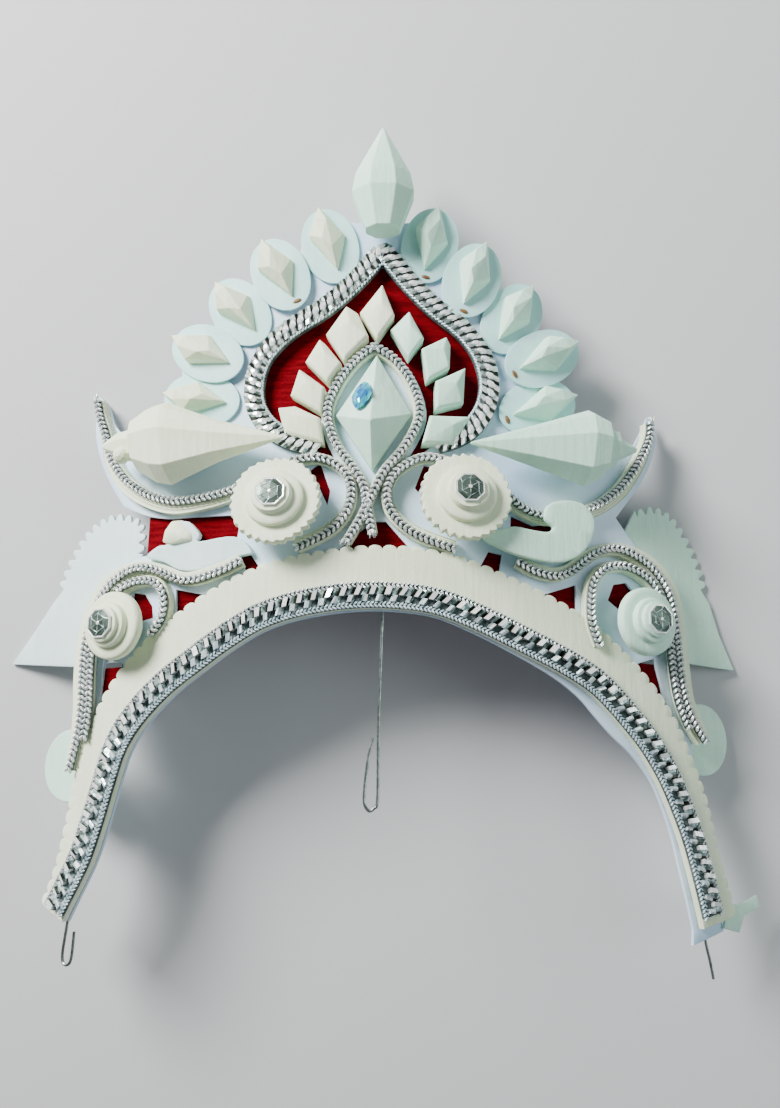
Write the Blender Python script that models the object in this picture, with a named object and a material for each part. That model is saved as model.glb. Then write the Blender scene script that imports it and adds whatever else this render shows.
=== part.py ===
"""A bride's shola crown, lying on its back.

The crown is drawn flat, as its maker cuts it: across (u) and up (v) from the top of the face
arch, with w as the height above the back of the card. The flat pattern is then bent round the
head and leaned back until the crown lies on its two wing tips and its left horn.
"""

import math

import bmesh
import bpy
from mathutils import Matrix, Vector
from mathutils.geometry import intersect_point_line

MM = 0.001

# Across and up are shares of these two lengths in every table below
HALF_WIDTH = 100 * MM  # middle of the arch to the outer braid of the side scrolls
RISE = 100 * MM  # top of the arch to the tips of the fourth pair of petals

# The bend round the head, and how far the crown leans back where it lies
HEAD_RADIUS = 220 * MM
WING_CURL_RADIUS = 180 * MM
WING_ROOT = 107 * MM
LIE_TILT = math.radians(8.4)
LIE_ROLL = math.radians(0.4)
COLUMN = 16 * MM  # flat pieces are creased this often before they are bent

# Sheets and the clearances between glued pieces
GAP = 0.3 * MM
CARD_THICK = 1.2 * MM
CLOTH_THICK = 1.2 * MM
WING_THICK = 1.2 * MM
SIDE_DISC_THICK = 1.6 * MM
BAND_THICK = 2.5 * MM
STRIP_THICK = 3.0 * MM
BRAID_THICK = 1.8 * MM
BRAID_WIDTH = 0.026 * HALF_WIDTH

# The silver lace round the arch and the teardrop
RIM_TRIM_WIDTH = 0.086 * HALF_WIDTH
RIM_TRIM_THICK = 2.8 * MM
RIM_TRIM_BORDER = 1.2 * MM
TEAR_TRIM_WIDTH = 0.07 * HALF_WIDTH
TEAR_TRIM_THICK = 4.6 * MM

# Teeth along cut shola edges
BAND_TOOTH = 0.046 * HALF_WIDTH
BAND_TOOTH_DEPTH = 0.014 * HALF_WIDTH
WING_TOOTH = 0.041 * HALF_WIDTH
WING_TOOTH_DEPTH = 0.025 * HALF_WIDTH
ROSETTE_TEETH = 30
ROSETTE_TOOTH_DEPTH = 0.013 * HALF_WIDTH

# Carved shola
PETAL_LENGTH = 0.29 * HALF_WIDTH
PETAL_WIDTH = 0.196 * HALF_WIDTH
PETAL_THICK = 1.0 * MM
LOZENGE_LENGTH = 0.24 * HALF_WIDTH
LOZENGE_WIDTH = 0.118 * HALF_WIDTH
LOZENGE_HEIGHT = 6.0 * MM
CHIP_LOW = 3.4 * MM
CHIP_HIGH = 5.0 * MM
CHIP_INSET = 0.004 * HALF_WIDTH
DIAMOND_SIDE = 3.4 * MM
DIAMOND_HEIGHT = 12.0 * MM
STONE_LENGTH = 0.11 * HALF_WIDTH
STONE_WIDTH = 0.076 * HALF_WIDTH
STONE_HEIGHT = 2.4 * MM
STONE_LIFT = 0.5 * MM
FINIAL_LENGTH = 0.39 * HALF_WIDTH
FINIAL_RADIUS = 0.106 * HALF_WIDTH
FINIAL_DEPTH = 8.6 * MM
CONCH_LENGTH_LEFT = 0.66 * HALF_WIDTH
CONCH_LENGTH_RIGHT = 0.59 * HALF_WIDTH
CONCH_RADIUS_LEFT = 0.146 * HALF_WIDTH
CONCH_RADIUS_RIGHT = 0.134 * HALF_WIDTH
CONCH_DEPTH = 9.0 * MM
ROSETTE_RADIUS = 0.152 * HALF_WIDTH
ROSETTE_THICK = 3.2 * MM
ROSETTE_LEAN = math.radians(9)
DOME_RADIUS = 0.114 * HALF_WIDTH
DOME_THICK = 3.6 * MM
DOME_LEAN = math.radians(5)
BOSS_RADIUS = 0.062 * HALF_WIDTH
MIRROR_RADIUS = 0.052 * HALF_WIDTH
MIRROR_THICK = 1.2 * MM
CURL_THICK = 2.6 * MM
SIDE_DISC_RADIUS = 0.122 * HALF_WIDTH
SCRAP_THICK = 1.0 * MM
WIRE_RADIUS = 0.5 * MM

# Heights of the layers above the back of the card
FRONT = CARD_THICK + GAP
BACK = -GAP
BRAID_FOOT = FRONT + STRIP_THICK + GAP
OVER_BRAID = BRAID_FOOT + BRAID_THICK + GAP
BAND_TOP = FRONT + BAND_THICK + GAP

SHOLA = ("shola", (0.83, 0.87, 0.80), 0.75, 0.0)
CARD = ("white_card", (0.78, 0.82, 0.90), 0.6, 0.0)
VELVET = ("red_velvet", (0.45, 0.01, 0.02), 0.9, 0.0)
SILVER = ("silver_braid", (0.62, 0.66, 0.66), 0.35, 0.9)
FOIL = ("silver_foil", (0.75, 0.78, 0.78), 0.15, 1.0)
MIRROR = ("mirror_glass", (0.30, 0.33, 0.33), 0.08, 0.9)
STONE = ("blue_stone", (0.05, 0.35, 0.55), 0.1, 0.2)
STEEL = ("steel_wire", (0.45, 0.47, 0.45), 0.35, 1.0)

# The arch: the middle of its silver lace from the left ear to the right, with how far the
# scalloped band goes beyond it, and how far the bare card goes below it
ARCH = (
    # across, up, band beyond, card below
    (-1.100, -0.965, 0.058, 0.044),
    (-1.068, -0.908, 0.062, 0.044),
    (-1.034, -0.850, 0.072, 0.043),
    (-0.992, -0.770, 0.092, 0.043),
    (-0.951, -0.653, 0.106, 0.043),
    (-0.915, -0.533, 0.118, 0.042),
    (-0.878, -0.425, 0.122, 0.042),
    (-0.815, -0.330, 0.138, 0.042),
    (-0.714, -0.230, 0.152, 0.042),
    (-0.607, -0.152, 0.159, 0.042),
    (-0.500, -0.078, 0.155, 0.043),
    (-0.380, -0.012, 0.150, 0.045),
    (-0.230, 0.030, 0.148, 0.047),
    (-0.040, 0.050, 0.152, 0.048),
    (0.156, 0.034, 0.155, 0.047),
    (0.300, -0.016, 0.158, 0.048),
    (0.463, -0.092, 0.164, 0.050),
    (0.600, -0.158, 0.158, 0.058),
    (0.701, -0.218, 0.142, 0.070),
    (0.767, -0.277, 0.141, 0.077),
    (0.827, -0.340, 0.139, 0.076),
    (0.883, -0.404, 0.132, 0.064),
    (0.928, -0.468, 0.123, 0.054),
    (0.966, -0.533, 0.110, 0.048),
    (1.004, -0.616, 0.108, 0.049),
    (1.040, -0.705, 0.096, 0.054),
    (1.066, -0.790, 0.088, 0.059),
    (1.095, -0.900, 0.094, 0.061),
    (1.118, -1.000, 0.098, 0.062),
)

# The card's own two corners below the right arm's lace
CARD_FOOT_RIGHT = ((1.190, -1.025), (1.052, -1.062))

# The card above the arch, from the left side scroll over the top to the right one.
# A sharp row is a corner, and the rows between corners are one smooth stretch
CARD_TOP = (
    # across, up, sharp
    (-1.050, -0.480, True),
    (-1.055, -0.380, False),
    (-1.062, -0.200, False),
    (-1.055, -0.070, False),
    (-1.030, 0.035, False),
    (-0.985, 0.115, False),
    (-0.920, 0.178, False),
    (-0.835, 0.215, True),
    (-0.600, 0.225, False),
    (-0.485, 0.235, True),
    (-0.470, 0.335, True),
    (-0.640, 0.338, False),
    (-0.740, 0.340, False),
    (-0.830, 0.360, False),
    (-0.920, 0.400, True),
    (-0.990, 0.500, False),
    (-1.040, 0.600, False),
    (-1.065, 0.700, False),
    (-1.055, 0.825, True),
    (-1.010, 0.775, False),
    (-0.975, 0.700, False),
    (-0.900, 0.630, True),
    (-0.760, 0.640, True),
    (-0.745, 0.740, False),
    (-0.705, 0.835, True),
    (-0.705, 0.930, False),
    (-0.655, 0.985, False),
    (-0.590, 1.010, True),
    (-0.585, 1.085, False),
    (-0.535, 1.140, False),
    (-0.450, 1.160, True),
    (-0.435, 1.235, False),
    (-0.370, 1.275, False),
    (-0.285, 1.270, True),
    (-0.255, 1.345, False),
    (-0.185, 1.385, False),
    (-0.080, 1.375, True),
    (0.000, 1.400, True),
    (0.080, 1.375, True),
    (0.180, 1.380, False),
    (0.245, 1.335, False),
    (0.260, 1.265, True),
    (0.335, 1.245, False),
    (0.390, 1.200, False),
    (0.405, 1.135, True),
    (0.490, 1.115, False),
    (0.540, 1.060, False),
    (0.545, 0.995, True),
    (0.615, 0.950, False),
    (0.635, 0.880, False),
    (0.605, 0.805, True),
    (0.625, 0.735, False),
    (0.645, 0.665, False),
    (0.640, 0.610, True),
    (0.860, 0.565, True),
    (0.915, 0.630, False),
    (0.975, 0.735, True),
    (1.005, 0.660, False),
    (0.980, 0.570, False),
    (0.935, 0.490, False),
    (0.870, 0.410, False),
    (0.820, 0.350, True),
    (0.900, 0.250, False),
    (0.970, 0.185, False),
    (1.020, 0.105, False),
    (1.045, 0.010, False),
    (1.050, -0.110, False),
    (1.060, -0.230, False),
    (1.085, -0.320, False),
    (1.095, -0.400, False),
    (1.090, -0.460, True),
)

# The silver teardrop, from its left foot over the point to its right foot
TEARDROP = (
    # across, up
    (-0.210, 0.560),
    (-0.275, 0.573),
    (-0.330, 0.598),
    (-0.383, 0.640),
    (-0.422, 0.705),
    (-0.430, 0.790),
    (-0.400, 0.885),
    (-0.316, 0.974),
    (-0.193, 1.052),
    (-0.092, 1.144),
    (-0.025, 1.225),
    (0.005, 1.262),
    (0.033, 1.225),
    (0.094, 1.144),
    (0.176, 1.056),
    (0.277, 0.972),
    (0.338, 0.887),
    (0.363, 0.790),
    (0.348, 0.700),
    (0.300, 0.625),
    (0.245, 0.588),
    (0.185, 0.566),
)

# The leaf round the middle, its two braids crossing at the foot
LEAF_LEFT = (
    # across, up
    (-0.023, 0.898),
    (-0.085, 0.850),
    (-0.145, 0.765),
    (-0.176, 0.668),
    (-0.150, 0.563),
    (-0.095, 0.480),
    (-0.058, 0.415),
    (-0.045, 0.340),
    (-0.030, 0.255),
)
LEAF_RIGHT = (
    (-0.023, 0.898),
    (0.045, 0.850),
    (0.103, 0.762),
    (0.125, 0.655),
    (0.078, 0.548),
    (0.012, 0.464),
    (-0.025, 0.388),
    (-0.060, 0.310),
    (-0.108, 0.225),
)

# Crescent scrolls: each runs from its horn, under the rosette and round to its foot
SCROLL_LEFT = (
    # across, up, strip outward, strip inward
    (-1.025, 0.790, 0.014, 0.014),
    (-1.010, 0.730, 0.022, 0.016),
    (-0.981, 0.660, 0.030, 0.016),
    (-0.955, 0.575, 0.036, 0.016),
    (-0.904, 0.500, 0.040, 0.016),
    (-0.840, 0.446, 0.042, 0.016),
    (-0.764, 0.407, 0.042, 0.016),
    (-0.690, 0.388, 0.040, 0.016),
    (-0.590, 0.392, 0.036, 0.016),
    (-0.490, 0.412, 0.030, 0.016),
    (-0.420, 0.448, 0.022, 0.016),
    (-0.321, 0.492, 0.016, 0.016),
    (-0.222, 0.512, 0.016, 0.018),
    (-0.152, 0.490, 0.016, 0.018),
    (-0.106, 0.440, 0.016, 0.018),
    (-0.096, 0.375, 0.018, 0.018),
    (-0.118, 0.310, 0.022, 0.018),
    (-0.172, 0.255, 0.028, 0.016),
    (-0.269, 0.208, 0.030, 0.016),
)
SCROLL_RIGHT = (
    (0.950, 0.695, 0.014, 0.014),
    (0.944, 0.640, 0.022, 0.016),
    (0.908, 0.567, 0.030, 0.016),
    (0.858, 0.493, 0.034, 0.016),
    (0.803, 0.432, 0.036, 0.016),
    (0.728, 0.379, 0.036, 0.016),
    (0.640, 0.345, 0.034, 0.016),
    (0.560, 0.330, 0.030, 0.016),
    (0.485, 0.338, 0.026, 0.016),
    (0.415, 0.385, 0.020, 0.016),
    (0.330, 0.452, 0.016, 0.016),
    (0.249, 0.487, 0.016, 0.018),
    (0.155, 0.512, 0.016, 0.018),
    (0.085, 0.488, 0.016, 0.018),
    (0.035, 0.440, 0.016, 0.018),
    (0.018, 0.375, 0.018, 0.018),
    (0.042, 0.308, 0.024, 0.018),
    (0.110, 0.250, 0.028, 0.016),
    (0.232, 0.202, 0.030, 0.016),
)

# Side scrolls: a strip from the arch over the dome and down to the ear, with a hook round the
# dome, and the two braids on them
SIDE_STRIP_LEFT = (
    # across, up, strip outward, strip inward
    (-0.455, 0.170, 0.016, 0.026),
    (-0.520, 0.140, 0.016, 0.030),
    (-0.607, 0.116, 0.016, 0.030),
    (-0.665, 0.118, 0.016, 0.028),
    (-0.735, 0.150, 0.020, 0.024),
    (-0.800, 0.168, 0.022, 0.022),
    (-0.860, 0.160, 0.022, 0.026),
    (-0.925, 0.120, 0.022, 0.040),
    (-0.970, 0.065, 0.022, 0.046),
    (-1.000, -0.005, 0.022, 0.048),
    (-1.018, -0.095, 0.022, 0.050),
    (-1.020, -0.200, 0.022, 0.052),
    (-1.018, -0.300, 0.022, 0.048),
    (-1.030, -0.400, 0.022, 0.040),
    (-1.055, -0.500, 0.020, 0.030),
)
HOOK_LEFT = (
    (-0.912, 0.078, 0.018, 0.018),
    (-0.870, 0.110, 0.018, 0.018),
    (-0.800, 0.124, 0.018, 0.018),
    (-0.745, 0.108, 0.020, 0.018),
    (-0.716, 0.050, 0.022, 0.016),
    (-0.726, -0.014, 0.022, 0.016),
    (-0.760, -0.060, 0.018, 0.016),
)
BRAID_DOWN_LEFT = ((-0.963, -0.010), (-0.988, -0.100), (-0.990, -0.200), (-0.988, -0.300), (-1.000, -0.395))
SIDE_STRIP_RIGHT = (
    (0.443, 0.167, 0.016, 0.026),
    (0.489, 0.141, 0.016, 0.030),
    (0.565, 0.124, 0.016, 0.030),
    (0.624, 0.143, 0.016, 0.028),
    (0.670, 0.179, 0.018, 0.026),
    (0.723, 0.215, 0.020, 0.022),
    (0.800, 0.232, 0.022, 0.022),
    (0.887, 0.204, 0.022, 0.034),
    (0.946, 0.160, 0.022, 0.044),
    (0.990, 0.100, 0.022, 0.048),
    (1.010, 0.030, 0.022, 0.048),
    (1.018, -0.070, 0.022, 0.050),
    (1.024, -0.170, 0.022, 0.052),
    (1.038, -0.265, 0.022, 0.048),
    (1.070, -0.340, 0.022, 0.044),
    (1.115, -0.405, 0.020, 0.036),
)
HOOK_RIGHT = (
    (0.955, 0.085, 0.018, 0.018),
    (0.925, 0.130, 0.018, 0.018),
    (0.869, 0.162, 0.018, 0.018),
    (0.805, 0.174, 0.018, 0.018),
    (0.742, 0.156, 0.020, 0.018),
    (0.700, 0.105, 0.024, 0.016),
    (0.688, 0.035, 0.024, 0.016),
    (0.690, -0.030, 0.022, 0.016),
    (0.713, -0.100, 0.018, 0.016),
)
BRAID_DOWN_RIGHT = ((0.979, 0.025), (0.986, -0.075), (0.992, -0.175), (1.008, -0.275), (1.045, -0.360))

# Windows cut through the card, each a corner list, with the red cloth behind
WINDOWS = (
    ((-0.240, 0.478), (-0.204, 0.505), (-0.169, 0.405), (-0.178, 0.357), (-0.215, 0.440)),
    ((0.111, 0.415), (0.142, 0.495), (0.180, 0.485), (0.150, 0.455), (0.122, 0.400)),
    ((-0.030, 0.300), (0.015, 0.300), (0.115, 0.185), (0.060, 0.150), (-0.110, 0.150), (-0.165, 0.185)),
    ((-0.475, 0.185), (-0.450, 0.222), (-0.400, 0.150), (-0.440, 0.130)),
    ((-0.697, 0.092), (-0.587, 0.068), (-0.600, 0.010), (-0.690, -0.030)),
    ((-0.864, 0.092), (-0.815, 0.082), (-0.785, 0.040), (-0.780, 0.000), (-0.835, -0.010), (-0.870, 0.030)),
    ((-0.968, -0.120), (-0.890, -0.150), (-0.880, -0.230), (-0.950, -0.345), (-0.985, -0.345)),
    ((0.433, 0.330), (0.510, 0.300), (0.575, 0.310), (0.575, 0.270), (0.430, 0.285)),
    ((0.327, 0.155), (0.354, 0.205), (0.400, 0.195), (0.390, 0.140), (0.350, 0.130)),
    ((0.535, 0.065), (0.656, 0.105), (0.657, -0.010), (0.590, 0.000)),
    ((0.776, 0.060), (0.800, 0.115), (0.850, 0.125), (0.880, 0.095), (0.830, 0.020)),
    ((0.880, -0.150), (0.950, -0.130), (0.975, -0.220), (0.995, -0.325), (0.950, -0.310), (0.890, -0.210)),
)
CLOTH = (
    # across, up
    (-0.905, -0.158),
    (-0.900, 0.150),
    (-0.825, 0.200),
    (-0.822, 0.352),
    (-0.700, 0.420),
    (-0.480, 0.480),
    (-0.440, 0.600),
    (-0.465, 0.790),
    (-0.420, 0.930),
    (-0.200, 1.090),
    (0.000, 1.270),
    (0.200, 1.090),
    (0.350, 0.930),
    (0.400, 0.790),
    (0.380, 0.600),
    (0.450, 0.440),
    (0.620, 0.360),
    (0.760, 0.300),
    (0.905, 0.170),
    (0.910, -0.145),
    (1.005, -0.150),
    (1.010, -0.345),
    (0.940, -0.345),
    (0.860, -0.240),
    (0.700, -0.150),
    (0.500, -0.020),
    (0.300, 0.060),
    (0.000, 0.110),
    (-0.300, 0.070),
    (-0.500, -0.010),
    (-0.700, -0.130),
    (-0.860, -0.260),
    (-0.930, -0.360),
    (-1.000, -0.360),
    (-0.995, -0.160),
)

OUTER_PETALS = (
    # name, across, up, turn in degrees, layer
    ("left_1", -0.178, 1.285, 15, 0),
    ("left_2", -0.348, 1.183, 25, 1),
    ("left_3", -0.493, 1.062, 36, 0),
    ("left_4", -0.603, 0.915, 60, 1),
    ("left_5", -0.625, 0.752, 76, 0),
    ("right_1", 0.166, 1.287, -13, 0),
    ("right_2", 0.308, 1.158, -20, 1),
    ("right_3", 0.450, 1.032, -32, 0),
    ("right_4", 0.552, 0.890, -62, 1),
    ("right_5", 0.535, 0.715, -70, 0),
)

INNER_PETALS = (
    # name, then each corner: across, up, and whether it is on the high inner side
    ("top", (0.003, 1.130, False), (-0.075, 1.024, False), (-0.015, 0.918, True), (0.046, 1.008, True)),
    ("left_1", (-0.118, 1.052, False), (-0.188, 0.947, False),
     (-0.123, 0.843, True), (-0.040, 0.932, True), (-0.078, 1.024, False)),
    ("left_2", (-0.207, 0.934, False), (-0.256, 0.851, False),
     (-0.176, 0.766, True), (-0.128, 0.834, True), (-0.186, 0.915, False)),
    ("left_3", (-0.275, 0.829, False), (-0.304, 0.732, False),
     (-0.193, 0.660, True), (-0.182, 0.752, True), (-0.237, 0.801, False)),
    ("left_4", (-0.345, 0.694, False), (-0.321, 0.601, False),
     (-0.186, 0.556, True), (-0.196, 0.646, True), (-0.286, 0.698, False)),
    ("right_1", (0.093, 1.032, False), (0.027, 0.962, False), (0.090, 0.852, True), (0.143, 0.925, True)),
    ("right_2", (0.218, 0.943, False), (0.130, 0.890, True),
     (0.148, 0.772, True), (0.226, 0.820, True), (0.232, 0.913, False)),
    ("right_3", (0.281, 0.834, False), (0.175, 0.776, True), (0.174, 0.672, True), (0.273, 0.701, False)),
    ("right_4", (0.297, 0.660, False), (0.156, 0.655, True), (0.129, 0.554, True), (0.235, 0.559, False)),
)

DIAMOND = ((-0.015, 0.868), (-0.148, 0.656), (-0.030, 0.468), (0.098, 0.661))
DIAMOND_PEAK = (-0.034, 0.610)
STONE_AT = (-0.056, 0.705)

# Carved spindles: rings along the axis, as shares of length, radius and depth
FINIAL_AT = (0.005, 1.295)
FINIAL_RINGS = (
    # along, radius, depth
    (0.00, 0.55, 0.60),
    (0.34, 1.00, 1.00),
    (0.52, 0.88, 0.90),
    (1.00, 0.05, 0.06),
)
CONCH_RINGS_LEFT = (
    (0.000, 0.03, 0.05),
    (0.360, 0.52, 0.58),
    (0.620, 1.00, 1.00),
    (0.700, 0.93, 0.95),
    (0.810, 0.62, 0.72),
    (0.811, 0.42, 0.52),
    (0.900, 0.33, 0.42),
    (1.000, 0.06, 0.10),
)
CONCH_RINGS_RIGHT = (
    (0.000, 0.03, 0.05),
    (0.340, 0.50, 0.58),
    (0.690, 1.00, 1.00),
    (0.800, 0.76, 0.84),
    (0.801, 0.58, 0.66),
    (0.870, 0.48, 0.56),
    (0.871, 0.35, 0.44),
    (1.000, 0.06, 0.10),
)
CONCH_LEFT_AT = (-0.285, 0.560, 88.0)  # across and up of the tip, turn in degrees
CONCH_RIGHT_AT = (0.262, 0.540, -88.0)

ROSETTES = (("left", -0.327, 0.336), ("right", 0.262, 0.347))
DOMES = (("left", -0.866, -0.033), ("right", 0.858, -0.020))
SIDE_DISCS = (("left", -1.110, -0.485), ("right", 1.160, -0.397))

CURL_LEFT = (
    # across, up
    (-0.800, 0.205),
    (-0.757, 0.240),
    (-0.722, 0.245),
    (-0.719, 0.288),
    (-0.685, 0.314),
    (-0.645, 0.316),
    (-0.604, 0.272),
    (-0.608, 0.246),
    (-0.508, 0.257),
    (-0.456, 0.245),
    (-0.420, 0.200),
    (-0.454, 0.190),
    (-0.520, 0.172),
    (-0.590, 0.150),
    (-0.670, 0.152),
    (-0.735, 0.185),
)
CURL_RIGHT = (
    (0.523, 0.305),
    (0.531, 0.350),
    (0.580, 0.372),
    (0.648, 0.368),
    (0.688, 0.327),
    (0.690, 0.274),
    (0.662, 0.216),
    (0.611, 0.175),
    (0.545, 0.160),
    (0.460, 0.172),
    (0.393, 0.192),
    (0.326, 0.225),
    (0.330, 0.245),
    (0.367, 0.261),
    (0.420, 0.275),
    (0.480, 0.266),
    (0.530, 0.262),
    (0.550, 0.280),
)
CURL_RIGHT_HEAD = (0.605, 0.272, 0.055)  # across, up and radius of the lump under the head

WING_LEFT = (
    # across, up, toothed
    (-0.920, -0.140, False),
    (-1.110, -0.148, False),
    (-1.384, -0.128, False),
    (-1.295, -0.010, False),
    (-1.230, 0.080, False),
    (-1.208, 0.137, True),
    (-1.187, 0.195, True),
    (-1.120, 0.305, True),
    (-1.035, 0.368, True),
    (-0.945, 0.380, True),
    (-0.843, 0.338, True),
    (-0.840, 0.225, False),
    (-0.905, 0.175, False),
    (-0.920, 0.050, False),
)
WING_RIGHT = (
    (0.925, -0.125, False),
    (1.102, -0.135, False),
    (1.310, -0.153, False),
    (1.255, -0.030, False),
    (1.222, 0.080, False),
    (1.212, 0.132, True),
    (1.200, 0.192, True),
    (1.155, 0.290, True),
    (1.090, 0.378, True),
    (1.000, 0.412, True),
    (0.910, 0.388, False),
    (0.860, 0.300, False),
    (0.920, 0.180, False),
    (0.925, 0.040, False),
)

SCRAP = (
    # across, up
    (1.205, -0.930),
    (1.258, -0.945),
    (1.352, -0.918),
    (1.362, -0.955),
    (1.280, -0.980),
    (1.252, -1.032),
    (1.180, -1.015),
)

# Hook wires in the plane of the arch: across, up, and height above the card's back
WIRE_MIDDLE = (
    (0.006, 0.030, -0.004),
    (-0.003, -0.222, -0.004),
    (-0.008, -0.386, -0.004),
    (-0.010, -0.590, -0.004),
    (-0.022, -0.622, -0.004),
    (-0.040, -0.628, -0.004),
    (-0.053, -0.590, -0.004),
    (-0.040, -0.467, -0.004),
    (-0.024, -0.402, -0.004),
)
WIRE_LEFT = (
    (-1.072, -0.900, -0.004),
    (-1.085, -1.000, -0.004),
    (-1.098, -1.095, -0.004),
    (-1.085, -1.125, -0.004),
    (-1.060, -1.110, -0.004),
    (-1.052, -1.020, -0.004),
)
WIRE_RIGHT = (
    (1.112, -0.960, -0.004),
    (1.127, -1.063, -0.004),
    (1.140, -1.115, -0.004),
    (1.152, -1.175, -0.004),
)


def clear_scene():
    for found in list(bpy.data.objects):
        bpy.data.objects.remove(found)


def collection(name, hidden=False):
    made = bpy.data.collections.new(name)
    bpy.context.scene.collection.children.link(made)
    made.hide_render = hidden
    return made


def material(finish):
    name, colour, roughness, metallic = finish
    found = bpy.data.materials.get(name)
    if found:
        return found
    made = bpy.data.materials.new(name)
    made.use_nodes = True
    shader = made.node_tree.nodes["Principled BSDF"]
    shader.inputs["Base Color"].default_value = (*colour, 1.0)
    shader.inputs["Roughness"].default_value = roughness
    shader.inputs["Metallic"].default_value = metallic
    return made


def at(row):
    """A table row's place on the flat pattern."""
    return Vector((row[0] * HALF_WIDTH, row[1] * RISE))


def smooth(points, steps, cyclic=False):
    """Points along a smooth curve through the given ones."""
    count = len(points)
    spans = count if cyclic else count - 1
    found = []
    for i in range(spans):
        if cyclic:
            p0, p1, p2, p3 = (points[(i + k) % count] for k in (-1, 0, 1, 2))
        else:
            p0, p1, p2, p3 = (points[min(max(i + k, 0), count - 1)] for k in (-1, 0, 1, 2))
        for step in range(steps):
            t = step / steps
            found.append(
                0.5
                * (
                    2 * p1
                    + (p2 - p0) * t
                    + (2 * p0 - 5 * p1 + 4 * p2 - p3) * t * t
                    + (3 * p1 - p0 - 3 * p2 + p3) * t**3
                )
            )
    if not cyclic:
        found.append(points[-1].copy())
    return found


def sharp_and_smooth(rows, steps):
    """A line through rows whose third value marks the corners."""
    found = []
    run = [at(rows[0])]
    for row in rows[1:]:
        run.append(at(row))
        if row[2]:
            found += smooth(run, steps if len(run) > 2 else 1)[:-1]
            run = [at(row)]
    return found + [run[-1]]


def normals(path):
    """The unit normal on the left of the way along each point."""
    found = []
    for i in range(len(path)):
        way = path[min(i + 1, len(path) - 1)] - path[max(i - 1, 0)]
        found.append(Vector((-way.y, way.x)).normalized())
    return found


def beside(path, distances):
    """The path moved to its left by one distance, or by one for each point."""
    if not isinstance(distances, (list, tuple)):
        distances = [distances] * len(path)
    return [p + n * d for p, n, d in zip(path, normals(path), distances)]


def off_line(points, path, distance):
    """The points that lie no nearer to a path than a distance."""
    found = []
    for p in points:
        nearest = distance
        for a, b in zip(path, path[1:]):
            _, share = intersect_point_line(p, a, b)
            nearest = min(nearest, (p - a.lerp(b, min(max(share, 0), 1))).length)
        if nearest > 0.98 * distance:
            found.append(p)
    return found


def toothed(path, pitch, depth):
    """The path with saw teeth cut into its right side."""
    lengths = [0.0]
    for a, b in zip(path, path[1:]):
        lengths.append(lengths[-1] + (b - a).length)
    count = max(2, round(lengths[-1] / pitch))
    ways = normals(path)
    found = []
    for i in range(2 * count + 1):
        along = lengths[-1] * i / (2 * count)
        k = max(j for j in range(len(lengths) - 1) if lengths[j] <= along + 1e-9)
        share = (along - lengths[k]) / max(lengths[k + 1] - lengths[k], 1e-9)
        point = path[k].lerp(path[k + 1], share)
        if i % 2:
            point = point - ways[k].lerp(ways[k + 1], share) * depth
        found.append(point)
    return found


def on_front(point):
    """A point of the flat pattern, with its height w, on the bent front."""
    u, v, w = point
    angle = u / HEAD_RADIUS
    return Vector(((HEAD_RADIUS + w) * math.sin(angle), v, (HEAD_RADIUS + w) * math.cos(angle) - HEAD_RADIUS))


def on_wing(point):
    """The same for a wing, which curls the other way beyond its root."""
    u, v, w = point
    side = 1 if u > 0 else -1
    root = min(abs(u), WING_ROOT) / HEAD_RADIUS
    beyond = max(abs(u) - WING_ROOT, 0.0)
    angle = root - beyond / WING_CURL_RADIUS
    across = HEAD_RADIUS * math.sin(root) + WING_CURL_RADIUS * (math.sin(root) - math.sin(angle))
    height = HEAD_RADIUS * (math.cos(root) - 1) - WING_CURL_RADIUS * (math.cos(angle) - math.cos(root))
    return Vector((side * (across + w * math.sin(angle)), v, height + w * math.cos(angle)))


def lie_back(mesh):
    mesh.transform(Matrix.Rotation(LIE_ROLL, 4, "Y") @ Matrix.Rotation(-LIE_TILT, 4, "X"))


def seat(u, v, w, turn=0.0, lean=0.0):
    """The frame on the bent front at a place: x across, y up and z outward."""
    place = Matrix.Translation(on_front((u, v, w)))
    facing = Matrix.Rotation(u / HEAD_RADIUS, 4, "Y") @ Matrix.Rotation(-lean, 4, "X")
    return place @ facing @ Matrix.Rotation(turn, 4, "Z")


def piece(name, mesh, finish):
    made = bpy.data.objects.new(name, mesh)
    mesh.materials.clear()
    mesh.materials.append(material(finish))
    PARTS.objects.link(made)
    return made


def mesh_of(curve_data):
    """A closed mesh from a curve, its caps welded to its sides."""
    helper = bpy.data.objects.new("outline", curve_data)
    CUTTERS.objects.link(helper)
    graph = bpy.context.evaluated_depsgraph_get()
    mesh = bpy.data.meshes.new_from_object(helper.evaluated_get(graph))
    bpy.data.objects.remove(helper)
    bpy.data.curves.remove(curve_data)
    work = bmesh.new()
    work.from_mesh(mesh)
    bmesh.ops.remove_doubles(work, verts=work.verts, dist=1e-6)
    bmesh.ops.recalc_face_normals(work, faces=work.faces)
    work.to_mesh(mesh)
    work.free()
    return mesh


def add_spline(curve, points, cyclic):
    spline = curve.splines.new("POLY")
    spline.points.add(len(points) - 1)
    for target, p in zip(spline.points, points):
        target.co = (p.x, p.y, p.z if len(p) == 3 else 0.0, 1.0)
    spline.use_cyclic_u = cyclic


def sheet(outline, foot, thick, holes=()):
    """A flat sheet from its outline, standing on height foot."""
    curve = bpy.data.curves.new("outline", "CURVE")
    curve.dimensions = "2D"
    curve.fill_mode = "BOTH"
    curve.extrude = thick / 2
    for loop in (outline, *holes):
        add_spline(curve, loop, True)
    mesh = mesh_of(curve)
    mesh.transform(Matrix.Translation((0, 0, foot + thick / 2)))
    return mesh


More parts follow.
